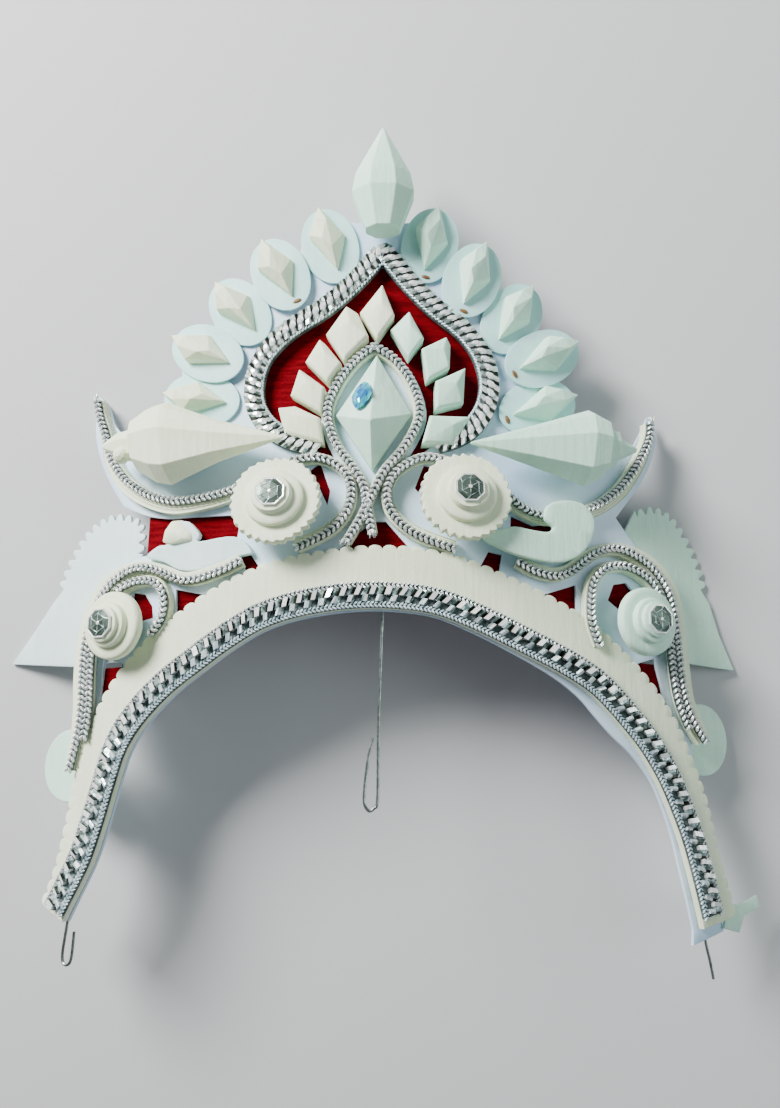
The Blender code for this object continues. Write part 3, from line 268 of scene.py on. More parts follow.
SCROLL_RIGHT = (
    (0.950, 0.695, 0.014, 0.014),
    (0.944, 0.640, 0.022, 0.016),
    (0.908, 0.567, 0.030, 0.016),
    (0.858, 0.493, 0.034, 0.016),
    (0.803, 0.432, 0.036, 0.016),
    (0.728, 0.379, 0.036, 0.016),
    (0.640, 0.345, 0.034, 0.016),
    (0.560, 0.330, 0.030, 0.016),
    (0.485, 0.338, 0.026, 0.016),
    (0.415, 0.385, 0.020, 0.016),
    (0.330, 0.452, 0.016, 0.016),
    (0.249, 0.487, 0.016, 0.018),
    (0.155, 0.512, 0.016, 0.018),
    (0.085, 0.488, 0.016, 0.018),
    (0.035, 0.440, 0.016, 0.018),
    (0.018, 0.375, 0.018, 0.018),
    (0.042, 0.308, 0.024, 0.018),
    (0.110, 0.250, 0.028, 0.016),
    (0.232, 0.202, 0.030, 0.016),
)

# Side scrolls: a strip from the arch over the dome and down to the ear, with a hook round the
# dome, and the two braids on them
SIDE_STRIP_LEFT = (
    # across, up, strip outward, strip inward
    (-0.455, 0.170, 0.016, 0.026),
    (-0.520, 0.140, 0.016, 0.030),
    (-0.607, 0.116, 0.016, 0.030),
    (-0.665, 0.118, 0.016, 0.028),
    (-0.735, 0.150, 0.020, 0.024),
    (-0.800, 0.168, 0.022, 0.022),
    (-0.860, 0.160, 0.022, 0.026),
    (-0.925, 0.120, 0.022, 0.040),
    (-0.970, 0.065, 0.022, 0.046),
    (-1.000, -0.005, 0.022, 0.048),
    (-1.018, -0.095, 0.022, 0.050),
    (-1.020, -0.200, 0.022, 0.052),
    (-1.018, -0.300, 0.022, 0.048),
    (-1.030, -0.400, 0.022, 0.040),
    (-1.055, -0.500, 0.020, 0.030),
)
HOOK_LEFT = (
    (-0.912, 0.078, 0.018, 0.018),
    (-0.870, 0.110, 0.018, 0.018),
    (-0.800, 0.124, 0.018, 0.018),
    (-0.745, 0.108, 0.020, 0.018),
    (-0.716, 0.050, 0.022, 0.016),
    (-0.726, -0.014, 0.022, 0.016),
    (-0.760, -0.060, 0.018, 0.016),
)
BRAID_DOWN_LEFT = ((-0.963, -0.010), (-0.988, -0.100), (-0.990, -0.200), (-0.988, -0.300), (-1.000, -0.395))
SIDE_STRIP_RIGHT = (
    (0.443, 0.167, 0.016, 0.026),
    (0.489, 0.141, 0.016, 0.030),
    (0.565, 0.124, 0.016, 0.030),
    (0.624, 0.143, 0.016, 0.028),
    (0.670, 0.179, 0.018, 0.026),
    (0.723, 0.215, 0.020, 0.022),
    (0.800, 0.232, 0.022, 0.022),
    (0.887, 0.204, 0.022, 0.034),
    (0.946, 0.160, 0.022, 0.044),
    (0.990, 0.100, 0.022, 0.048),
    (1.010, 0.030, 0.022, 0.048),
    (1.018, -0.070, 0.022, 0.050),
    (1.024, -0.170, 0.022, 0.052),
    (1.038, -0.265, 0.022, 0.048),
    (1.070, -0.340, 0.022, 0.044),
    (1.115, -0.405, 0.020, 0.036),
)
HOOK_RIGHT = (
    (0.955, 0.085, 0.018, 0.018),
    (0.925, 0.130, 0.018, 0.018),
    (0.869, 0.162, 0.018, 0.018),
    (0.805, 0.174, 0.018, 0.018),
    (0.742, 0.156, 0.020, 0.018),
    (0.700, 0.105, 0.024, 0.016),
    (0.688, 0.035, 0.024, 0.016),
    (0.690, -0.030, 0.022, 0.016),
    (0.713, -0.100, 0.018, 0.016),
)
BRAID_DOWN_RIGHT = ((0.979, 0.025), (0.986, -0.075), (0.992, -0.175), (1.008, -0.275), (1.045, -0.360))

# Windows cut through the card, each a corner list, with the red cloth behind
WINDOWS = (
    ((-0.240, 0.478), (-0.204, 0.505), (-0.169, 0.405), (-0.178, 0.357), (-0.215, 0.440)),
    ((0.111, 0.415), (0.142, 0.495), (0.180, 0.485), (0.150, 0.455), (0.122, 0.400)),
    ((-0.030, 0.300), (0.015, 0.300), (0.115, 0.185), (0.060, 0.150), (-0.110, 0.150), (-0.165, 0.185)),
    ((-0.475, 0.185), (-0.450, 0.222), (-0.400, 0.150), (-0.440, 0.130)),
    ((-0.697, 0.092), (-0.587, 0.068), (-0.600, 0.010), (-0.690, -0.030)),
    ((-0.864, 0.092), (-0.815, 0.082), (-0.785, 0.040), (-0.780, 0.000), (-0.835, -0.010), (-0.870, 0.030)),
    ((-0.968, -0.120), (-0.890, -0.150), (-0.880, -0.230), (-0.950, -0.345), (-0.985, -0.345)),
    ((0.433, 0.330), (0.510, 0.300), (0.575, 0.310), (0.575, 0.270), (0.430, 0.285)),
    ((0.327, 0.155), (0.354, 0.205), (0.400, 0.195), (0.390, 0.140), (0.350, 0.130)),
    ((0.535, 0.065), (0.656, 0.105), (0.657, -0.010), (0.590, 0.000)),
    ((0.776, 0.060), (0.800, 0.115), (0.850, 0.125), (0.880, 0.095), (0.830, 0.020)),
    ((0.880, -0.150), (0.950, -0.130), (0.975, -0.220), (0.995, -0.325), (0.950, -0.310), (0.890, -0.210)),
)
CLOTH = (
    # across, up
    (-0.905, -0.158),
    (-0.900, 0.150),
    (-0.825, 0.200),
    (-0.822, 0.352),
    (-0.700, 0.420),
    (-0.480, 0.480),
    (-0.440, 0.600),
    (-0.465, 0.790),
    (-0.420, 0.930),
    (-0.200, 1.090),
    (0.000, 1.270),
    (0.200, 1.090),
    (0.350, 0.930),
    (0.400, 0.790),
    (0.380, 0.600),
    (0.450, 0.440),
    (0.620, 0.360),
    (0.760, 0.300),
    (0.905, 0.170),
    (0.910, -0.145),
    (1.005, -0.150),
    (1.010, -0.345),
    (0.940, -0.345),
    (0.860, -0.240),
    (0.700, -0.150),
    (0.500, -0.020),
    (0.300, 0.060),
    (0.000, 0.110),
    (-0.300, 0.070),
    (-0.500, -0.010),
    (-0.700, -0.130),
    (-0.860, -0.260),
    (-0.930, -0.360),
    (-1.000, -0.360),
    (-0.995, -0.160),
)

OUTER_PETALS = (
    # name, across, up, turn in degrees, layer
    ("left_1", -0.178, 1.285, 15, 0),
    ("left_2", -0.348, 1.183, 25, 1),
    ("left_3", -0.493, 1.062, 36, 0),
    ("left_4", -0.603, 0.915, 60, 1),
    ("left_5", -0.625, 0.752, 76, 0),
    ("right_1", 0.166, 1.287, -13, 0),
    ("right_2", 0.308, 1.158, -20, 1),
    ("right_3", 0.450, 1.032, -32, 0),
    ("right_4", 0.552, 0.890, -62, 1),
    ("right_5", 0.535, 0.715, -70, 0),
)

INNER_PETALS = (
    # name, then each corner: across, up, and whether it is on the high inner side
    ("top", (0.003, 1.130, False), (-0.075, 1.024, False), (-0.015, 0.918, True), (0.046, 1.008, True)),
    ("left_1", (-0.118, 1.052, False), (-0.188, 0.947, False),
     (-0.123, 0.843, True), (-0.040, 0.932, True), (-0.078, 1.024, False)),
    ("left_2", (-0.207, 0.934, False), (-0.256, 0.851, False),
     (-0.176, 0.766, True), (-0.128, 0.834, True), (-0.186, 0.915, False)),
    ("left_3", (-0.275, 0.829, False), (-0.304, 0.732, False),
     (-0.193, 0.660, True), (-0.182, 0.752, True), (-0.237, 0.801, False)),
    ("left_4", (-0.345, 0.694, False), (-0.321, 0.601, False),
     (-0.186, 0.556, True), (-0.196, 0.646, True), (-0.286, 0.698, False)),
    ("right_1", (0.093, 1.032, False), (0.027, 0.962, False), (0.090, 0.852, True), (0.143, 0.925, True)),
    ("right_2", (0.218, 0.943, False), (0.130, 0.890, True),
     (0.148, 0.772, True), (0.226, 0.820, True), (0.232, 0.913, False)),
    ("right_3", (0.281, 0.834, False), (0.175, 0.776, True), (0.174, 0.672, True), (0.273, 0.701, False)),
    ("right_4", (0.297, 0.660, False), (0.156, 0.655, True), (0.129, 0.554, True), (0.235, 0.559, False)),
)

DIAMOND = ((-0.015, 0.868), (-0.148, 0.656), (-0.030, 0.468), (0.098, 0.661))
DIAMOND_PEAK = (-0.034, 0.610)
STONE_AT = (-0.056, 0.705)

# Carved spindles: rings along the axis, as shares of length, radius and depth
FINIAL_AT = (0.005, 1.295)
FINIAL_RINGS = (
    # along, radius, depth
    (0.00, 0.55, 0.60),
    (0.34, 1.00, 1.00),
    (0.52, 0.88, 0.90),
    (1.00, 0.05, 0.06),
)
CONCH_RINGS_LEFT = (
    (0.000, 0.03, 0.05),
    (0.360, 0.52, 0.58),
    (0.620, 1.00, 1.00),
    (0.700, 0.93, 0.95),
    (0.810, 0.62, 0.72),
    (0.811, 0.42, 0.52),
    (0.900, 0.33, 0.42),
    (1.000, 0.06, 0.10),
)
CONCH_RINGS_RIGHT = (
    (0.000, 0.03, 0.05),
    (0.340, 0.50, 0.58),
    (0.690, 1.00, 1.00),
    (0.800, 0.76, 0.84),
    (0.801, 0.58, 0.66),
    (0.870, 0.48, 0.56),
    (0.871, 0.35, 0.44),
    (1.000, 0.06, 0.10),
)
CONCH_LEFT_AT = (-0.285, 0.560, 88.0)  # across and up of the tip, turn in degrees
CONCH_RIGHT_AT = (0.262, 0.540, -88.0)

ROSETTES = (("left", -0.327, 0.336), ("right", 0.262, 0.347))
DOMES = (("left", -0.866, -0.033), ("right", 0.858, -0.020))
SIDE_DISCS = (("left", -1.110, -0.485), ("right", 1.160, -0.397))

CURL_LEFT = (
    # across, up
    (-0.800, 0.205),
    (-0.757, 0.240),
    (-0.722, 0.245),
    (-0.719, 0.288),
    (-0.685, 0.314),
    (-0.645, 0.316),
    (-0.604, 0.272),
    (-0.608, 0.246),
    (-0.508, 0.257),
    (-0.456, 0.245),
    (-0.420, 0.200),
    (-0.454, 0.190),
    (-0.520, 0.172),
    (-0.590, 0.150),
    (-0.670, 0.152),
    (-0.735, 0.185),
)
CURL_RIGHT = (
    (0.523, 0.305),
    (0.531, 0.350),
    (0.580, 0.372),
    (0.648, 0.368),
    (0.688, 0.327),
    (0.690, 0.274),
    (0.662, 0.216),
    (0.611, 0.175),
    (0.545, 0.160),
    (0.460, 0.172),
    (0.393, 0.192),
    (0.326, 0.225),
    (0.330, 0.245),
    (0.367, 0.261),
    (0.420, 0.275),
    (0.480, 0.266),
    (0.530, 0.262),
    (0.550, 0.280),
)
CURL_RIGHT_HEAD = (0.605, 0.272, 0.055)  # across, up and radius of the lump under the head

WING_LEFT = (
    # across, up, toothed
    (-0.920, -0.140, False),
    (-1.110, -0.148, False),
    (-1.384, -0.128, False),
    (-1.295, -0.010, False),
    (-1.230, 0.080, False),
    (-1.208, 0.137, True),
    (-1.187, 0.195, True),
    (-1.120, 0.305, True),
    (-1.035, 0.368, True),
    (-0.945, 0.380, True),
    (-0.843, 0.338, True),
    (-0.840, 0.225, False),
    (-0.905, 0.175, False),
    (-0.920, 0.050, False),
)
WING_RIGHT = (
    (0.925, -0.125, False),
    (1.102, -0.135, False),
    (1.310, -0.153, False),
    (1.255, -0.030, False),
    (1.222, 0.080, False),
    (1.212, 0.132, True),
    (1.200, 0.192, True),
    (1.155, 0.290, True),
    (1.090, 0.378, True),
    (1.000, 0.412, True),
    (0.910, 0.388, False),
    (0.860, 0.300, False),
    (0.920, 0.180, False),
    (0.925, 0.040, False),
)

SCRAP = (
    # across, up
    (1.205, -0.930),
    (1.258, -0.945),
    (1.352, -0.918),
    (1.362, -0.955),
    (1.280, -0.980),
    (1.252, -1.032),
    (1.180, -1.015),
)

# Hook wires in the plane of the arch: across, up, and height above the card's back
WIRE_MIDDLE = (
    (0.006, 0.030, -0.004),
    (-0.003, -0.222, -0.004),
    (-0.008, -0.386, -0.004),
    (-0.010, -0.590, -0.004),
    (-0.022, -0.622, -0.004),
    (-0.040, -0.628, -0.004),
    (-0.053, -0.590, -0.004),
    (-0.040, -0.467, -0.004),
    (-0.024, -0.402, -0.004),
)
WIRE_LEFT = (
    (-1.072, -0.900, -0.004),
    (-1.085, -1.000, -0.004),
    (-1.098, -1.095, -0.004),
    (-1.085, -1.125, -0.004),
    (-1.060, -1.110, -0.004),
    (-1.052, -1.020, -0.004),
)
WIRE_RIGHT = (
    (1.112, -0.960, -0.004),
    (1.127, -1.063, -0.004),
    (1.140, -1.115, -0.004),
    (1.152, -1.175, -0.004),
)


class Lace(IntEnum):
    """The finishes of a foil lace, by their numbers in its mesh; its lit to shaded foils and its backing are
    painted light and shade.
    """

    SHADE_BACKING = 0
    LIT = 1
    HALF_LIT = 2
    SHADED = 3
    PALE = 4
    CORD = 5
    CHAIN = 6


class Bend(Enum):
    """How a flat piece is brought to the crown's form."""

    FRONT = "round the head"
    WING = "round the head, then curled back"
    RIGID = "already in place"


Rows = Sequence[Sequence[float]]
Mesh = bpy.types.Mesh


def at(row: Sequence[float]) -> Vector:
    """The place of a table row on the flat pattern."""
    return Vector((row[0] * UNIT, row[1] * UNIT))


def smooth(points: Sequence[Vector], steps: int, cyclic: bool = False) -> list[Vector]:
    """Draws a smooth line through points.

    Args:
        points: the points that it passes through.
        steps: how many stretches lie between two points.
        cyclic: whether it closes on itself.

    Returns:
        The points of the line.
    """
    count = len(points)
    found = []
    for i in range(count if cyclic else count - 1):
        if cyclic:
            p0, p1, p2, p3 = (points[(i + k) % count] for k in (-1, 0, 1, 2))
        else:
            p0, p1, p2, p3 = (points[min(max(i + k, 0), count - 1)] for k in (-1, 0, 1, 2))
        for step in range(steps):
            t = step / steps
            bend = (2 * p0 - 5 * p1 + 4 * p2 - p3) * t * t + (3 * p1 - p0 - 3 * p2 + p3) * t**3
            found.append(0.5 * (2 * p1 + (p2 - p0) * t + bend))
    if not cyclic:
        found.append(points[-1].copy())
    return found


def drawn(rows: Rows, steps: int = 5, cyclic: bool = False) -> list[Vector]:
    """Draws a smooth line through the places of table rows."""
    return smooth([at(row) for row in rows], steps, cyclic)


def reaches(rows: Rows) -> list[Vector]:
    """How far a strip reaches to its two sides along a drawn line, from the rows' last two values."""
    return smooth([Vector((row[2], row[3])) * UNIT for row in rows], 5)


def cornered(rows: Rows, steps: int) -> list[Vector]:
    """Draws a line that is smooth between the rows marked as corners.

    Args:
        rows: across, up and whether the row is a corner.
        steps: how many stretches lie between two rows.

    Returns:
        The points of the line.
    """
    found = []
    run = [at(rows[0])]
    for row in rows[1:]:
        run.append(at(row))
        if row[2]:
            found += smooth(run, steps if len(run) > 2 else 1)[:-1]
            run = [at(row)]
    return found + [run[-1]]


def spaced(path: Sequence[Vector], pitch: float) -> list[Vector]:
    """Walks along a line in equal steps.

    Args:
        path: the line's points.
        pitch: the step wanted, which is changed a little to fit.

    Returns:
        The points of the steps.
    """
    lengths = np.concatenate([[0.0], np.cumsum([(b - a).length for a, b in zip(path, path[1:])])])
    count = max(2, round(lengths[-1] / pitch))
    along = np.linspace(0.0, lengths[-1], count + 1)
    across = np.interp(along, lengths, [p.x for p in path])
    up = np.interp(along, lengths, [p.y for p in path])
    return [Vector((x, y)) for x, y in zip(across, up)]


def normals(path: Sequence[Vector]) -> list[Vector]:
    """The sideways direction, to the left of the way, at each point."""
    found = []
    for i in range(len(path)):
        way = path[min(i + 1, len(path) - 1)] - path[max(i - 1, 0)]
        found.append(Vector((-way.y, way.x)).normalized())
    return found


def per_point(value: float | Sequence[float], path: Sequence[Vector]) -> Sequence[float]:
    """One value for each point of a line, from one number or as given."""
    return [value] * len(path) if isinstance(value, float) else value


def beside(path: Sequence[Vector], distance: float | Sequence[float]) -> list[Vector]:
    """Moves a line to its left.

    Args:
        path: the line's points.
        distance: how far, as one number or one for each point.

    Returns:
        The moved points.
    """
    return [p + n * d for p, n, d in zip(path, normals(path), per_point(distance, path))]


def off_line(points: Sequence[Vector], path: Sequence[Vector], distance: float) -> list[Vector]:
    """Keeps the points that lie at least a distance from a line.

    Args:
        points: the points to sift.
        path: the line.
        distance: the least distance.

    Returns:
        The points that are kept.
    """
    kept = []
    for p in points:
        nearest = distance
        for a, b in zip(path, path[1:]):
            way = b - a
            share = min(max((p - a).dot(way) / max(way.length_squared, 1e-12), 0.0), 1.0)
            nearest = min(nearest, (p - a.lerp(b, share)).length)
        if nearest > 0.98 * distance:
            kept.append(p)
    return kept


def scalloped(path: Sequence[Vector], pitch: float, depth: float, tooth: Rows) -> list[Vector]:
    """Cuts teeth along the left side of a line.

    Args:
        path: the line at the teeth's roots.
        pitch: the width of a tooth.
        depth: its height.
        tooth: its profile, as share along and share of the height.

    Returns:
        The toothed line.
    """
    roots = spaced(path, pitch)
    ways = normals(roots)
    found = []
    for i in range(len(roots) - 1):
        for along, rise in tooth:
            way = ways[i].lerp(ways[i + 1], along).normalized()
            found.append(roots[i].lerp(roots[i + 1], along) + way * rise * depth)
    return found + [roots[-1]]


@dataclass
class HeadForm:
    """The form that the flat pattern is bent to, and how the crown lies on the floor."""

    head_radius: float = 220 * MM
    curl_radius: float = 180 * MM
    wing_root: float = 107 * MM
    tilt: float = math.radians(8.4)
    roll: float = math.radians(0.4)
    shift: Vector = field(default_factory=Vector)

    def front(self, p: np.ndarray) -> np.ndarray:
        """Bends points of the pattern round the head."""
        angle = p[:, 0] / self.head_radius
        out = self.head_radius + p[:, 2]
        return np.stack([out * np.sin(angle), p[:, 1], out * np.cos(angle) - self.head_radius], 1)

    def wing(self, p: np.ndarray) -> np.ndarray:
        """Bends points round the head, and the other way beyond the wing's root."""
        side = np.where(p[:, 0] > 0, 1.0, -1.0)
        root = np.minimum(np.abs(p[:, 0]), self.wing_root) / self.head_radius
        beyond = np.maximum(np.abs(p[:, 0]) - self.wing_root, 0.0)
        angle = root - beyond / self.curl_radius
        across = self.head_radius * np.sin(root) + self.curl_radius * (np.sin(root) - np.sin(angle))
        height = self.head_radius * (np.cos(root) - 1) - self.curl_radius * (np.cos(angle) - np.cos(root))
        curled = side * (across + p[:, 2] * np.sin(angle))
        return np.stack([curled, p[:, 1], height + p[:, 2] * np.cos(angle)], 1)

    @property
    def lie(self) -> Matrix:
        """The turn and move that lay the upright form on the floor."""
        turn = Matrix.Rotation(self.roll, 4, "Y") @ Matrix.Rotation(-self.tilt, 4, "X")
        return Matrix.Translation(self.shift) @ turn

    def place(self, mesh: Mesh, bend: Bend) -> Mesh:
        """Brings a mesh from the flat pattern to its place.

        Args:
            mesh: the mesh, which is changed.
            bend: how it is bent.

        Returns:
            The same mesh.
        """
        if bend is not Bend.RIGID:
            flat = np.empty(len(mesh.vertices) * 3)
            mesh.vertices.foreach_get("co", flat)
            curved = (self.front if bend is Bend.FRONT else self.wing)(flat.reshape(-1, 3))
            mesh.vertices.foreach_set("co", curved.ravel())
        mesh.transform(self.lie)
        mesh.update()
        return mesh

    def seat(self, u: float, v: float, w: float, turn: float = 0.0, lean: float = 0.0) -> Matrix:
        """The upright frame of a rigid piece that stands on the bent front.

        Args:
            u: its place across.
            v: its place up.
            w: its height.
            turn: its turn about its own axis.
            lean: how far it leans down.

        Returns:
            The frame, with x across, y up and z outward.
        """
        x, y, z = self.front(np.array([[u, v, w]]))[0]
        facing = Matrix.Rotation(-lean, 4, "X") @ Matrix.Rotation(turn, 4, "Z")
        return Matrix.Translation((x, y, z)) @ Matrix.Rotation(u / self.head_radius, 4, "Y") @ facing


def mesh_from(points: Sequence[Sequence[float]], faces: Sequence[Sequence[int]]) -> Mesh:
    """Makes a mesh from points and faces."""
    made = bpy.data.meshes.new("piece")
    made.from_pydata([tuple(p) for p in points], [], [tuple(f) for f in faces])
    made.update()
    return made


def gathered(parts: Sequence[tuple[Mesh, int]]) -> Mesh:
    """Puts several meshes in one.

    Args:
        parts: each mesh, with the number of its finish.

    Returns:
        The one mesh.
    """
    work = bmesh.new()
    for mesh, kind in parts:
        before = len(work.faces)
        work.from_mesh(mesh)
        for face in list(work.faces)[before:]:
            face.material_index = kind
    made = bpy.data.meshes.new("piece")
    work.to_mesh(made)
    work.free()
    return made


MERGE = 1e-6  # points closer than this, in metres, are one


def add_line(curve: bpy.types.Curve, points: Sequence[Vector], cyclic: bool) -> None:
    """Adds a line of straight stretches to a curve."""
    line = curve.splines.new("POLY")
    line.points.add(len(points) - 1)
    for target, p in zip(line.points, points):
        target.co = (p.x, p.y, p.z if len(p) == 3 else 0.0, 1.0)
    line.use_cyclic_u = cyclic


def mesh_of(curve: bpy.types.Curve) -> Mesh:
    """Turns a curve into a mesh with its caps joined on, and removes the curve."""
    holder = bpy.data.objects.new("outline", curve)
    bpy.context.scene.collection.objects.link(holder)
    graph = bpy.context.evaluated_depsgraph_get()
    mesh = bpy.data.meshes.new_from_object(holder.evaluated_get(graph))
    bpy.data.objects.remove(holder)
    bpy.data.curves.remove(curve)
    return outward(mesh, MERGE)


def outward(mesh: Mesh, merge: float = 0.0) -> Mesh:
    """Turns a mesh's faces outward, and first joins its points where they lie closer than merge."""
    work = bmesh.new()
    work.from_mesh(mesh)
    if merge:
        bmesh.ops.remove_doubles(work, verts=work.verts, dist=merge)
    bmesh.ops.recalc_face_normals(work, faces=work.faces)
    work.to_mesh(mesh)
    work.free()
    return mesh


def plate(
    outline: Sequence[Vector],
    foot: float,
    thick: float,
    holes: Sequence[Sequence[Vector]] = (),
    edge: float = 0.15 * MM,
    column: float = 4 * MM,
) -> Mesh:
    """Cuts a flat sheet with softened edges, creased finely enough to bend.

    Args:
        outline: its outer line.
        foot: the height that it starts at.
        thick: its thickness.
        holes: the lines of its holes.
        edge: how far its edges are softened.
        column: the distance between creases.

    Returns:
        The sheet on the flat pattern.
    """
    curve = bpy.data.curves.new("outline", "CURVE")
    curve.dimensions = "2D"
    curve.fill_mode = "BOTH"
    curve.extrude = thick / 2 - edge
    curve.bevel_depth = edge
    curve.bevel_resolution = 1
    curve.offset = -edge
    for loop in (outline, *holes):
        add_line(curve, loop, True)
    mesh = mesh_of(curve)
    mesh.transform(Matrix.Translation((0, 0, foot + thick / 2)))
    return creased(mesh, column, 0)


def creased(mesh: Mesh, column: float, axis: int) -> Mesh:
    """Cuts a mesh into even columns.

    Args:
        mesh: the mesh, which is changed.
        column: their width.
        axis: 0 for columns side by side, 1 for rows above each other.

    Returns:
        The same mesh.
    """
    work = bmesh.new()
    work.from_mesh(mesh)
    places = [v.co[axis] for v in work.verts]
    way = Vector((1 - axis, axis, 0))
    for k in range(math.ceil(min(places) / column), math.floor(max(places) / column) + 1):
        everything = [*work.verts, *work.edges, *work.faces]
        bmesh.ops.bisect_plane(work, geom=everything, dist=2e-5, plane_co=way * k * column, plane_no=way)
    work.to_mesh(mesh)
    work.free()
    return mesh


def lofted(rings: Sequence[Sequence[Sequence[float]]]) -> Mesh:
    """Joins rings of equal count into a closed solid.

    Args:
        rings: the rings, in order.

    Returns:
        The solid.
    """
    count = len(rings[0])
    points = [p for ring in rings for p in ring]
    faces = []
    for level in range(len(rings) - 1):
        low = level * count
        for k in range(count):
            after = (k + 1) % count
            faces.append((low + k, low + after, low + count + after, low + count + k))
    faces.append(tuple(range(count))[::-1])
    faces.append(tuple(range(len(points) - count, len(points))))
    return outward(mesh_from(points, faces))


def swept(
    path: Sequence[Vector],
    left: float | Sequence[float],
    right: float | Sequence[float],
    foot: float,
    section: Rows,
) -> Mesh:
    """Runs a cross-section along a line.

    Args:
        path: the line.
        left: how far the section reaches to the left, once or for each point.
        right: the same to the right.
        foot: the height that it stands on.
        section: its corners: share of the reach, inset from there, and height.

    Returns:
        The strip on the flat pattern.
    """
    rings = []
    for p, way, far, near in zip(path, normals(path), per_point(left, path), per_point(right, path)):
        ring = []
        for share, inset, height in section:
            across = share * (far if share > 0 else near) - math.copysign(inset, share)
            q = p + way * across
            ring.append((q.x, q.y, foot + height))
        rings.append(ring)
    return lofted(rings)


def softened(mesh: Mesh, width: float, least_angle: float = 20.0, segments: int = 1) -> Mesh:
    """Takes the edge off the corners of a carved solid.

    Args:
        mesh: the solid, which is changed.
        width: how wide each softened edge is.
        least_angle: the flattest corner that is softened, in degrees.
        segments: how many steps it is rounded in.

    Returns:
        The same mesh.
    """
    work = bmesh.new()
    work.from_mesh(mesh)
    bmesh.ops.remove_doubles(work, verts=work.verts, dist=MERGE)
    limit = math.radians(least_angle)
    sharp = [e for e in work.edges if len(e.link_faces) == 2 and e.calc_face_angle(0.0) > limit]
    bmesh.ops.bevel(
        work,
        geom=sharp,
        offset=width,
        segments=segments,
        profile=0.5,
        affect="EDGES",
        clamp_overlap=True,
    )
    work.to_mesh(mesh)
    work.free()
    return mesh


def turned(profile: Rows, sides: int, teeth: int = 0, depth: float = 0.0) -> Mesh:
    """Turns a profile about the z axis.

    Args:
        profile: radius, height and whether the teeth cut in there, from the foot upward.
        sides: how many sides it has.
        teeth: how many teeth are cut in its edge.
        depth: how deep they are.

    Returns:
        The turned solid.
    """
    rings = []
    for radius, height, toothed in profile:
        ring = []
        for k in range(sides):
            angle = 2 * math.pi * k / sides
            cut = 0.0
            if toothed and teeth:
                phase = (teeth * k / sides) % 1.0
                uneven = 0.75 + 0.25 * math.sin(7.3 * math.floor(teeth * k / sides))
                cut = toothed * depth * uneven * (1.0 - min(phase / 0.7, (1.0 - phase) / 0.3))
            ring.append(((radius - cut) * math.cos(angle), (radius - cut) * math.sin(angle), height))
        rings.append(ring)
    return lofted(rings)


def beads(
    centres: Sequence[Vector],
    ways: Sequence[Vector],
    height: float,
    turn: float,
    size: Sequence[float],
    sides: int = 8,
    rings: int = 4,
) -> Mesh:
    """Lays a row of long beads, each turned from the line that it lies on.

    Args:
        centres: their places on the pattern.
        ways: the sideways direction of the line at each.
        height: the height of their middles.
        turn: how far each is turned from the line, in degrees.
        size: length, width and height of a bead.
        sides: its sides round its length.
        rings: its stretches along its length.

    Returns:
        The beads as one mesh.
    """
    form = [(-0.5, 0.0, 0.0)]
    for j in range(1, rings):
        a = math.pi * j / rings
        for k in range(sides):
            b = 2 * math.pi * k / sides
            reach = 0.5 * math.sin(a)
            form.append((-0.5 * math.cos(a), reach * math.cos(b), reach * math.sin(b)))
    form.append((0.5, 0.0, 0.0))
    skin = []
    for k in range(sides):
        after = (k + 1) % sides
        skin.append((0, 1 + after, 1 + k))
        skin.append((len(form) - 1, 1 + (rings - 2) * sides + k, 1 + (rings - 2) * sides + after))
        for j in range(rings - 2):
            low = 1 + j * sides
            skin.append((low + k, low + after, low + sides + after, low + sides + k))
    unit = np.array(form) * np.array(size)
    points = []
    faces = []
    for centre, side in zip(centres, ways):
        along = Vector((side.y, -side.x))
        along.rotate(Matrix.Rotation(math.radians(turn), 2))
        across = Vector((-along.y, along.x))
        start = len(points)
        for x, y, z in unit:
            q = centre + along * x + across * y
            points.append((q.x, q.y, height + z))
        faces += [tuple(start + i for i in face) for face in skin]
    return mesh_from(points, faces)


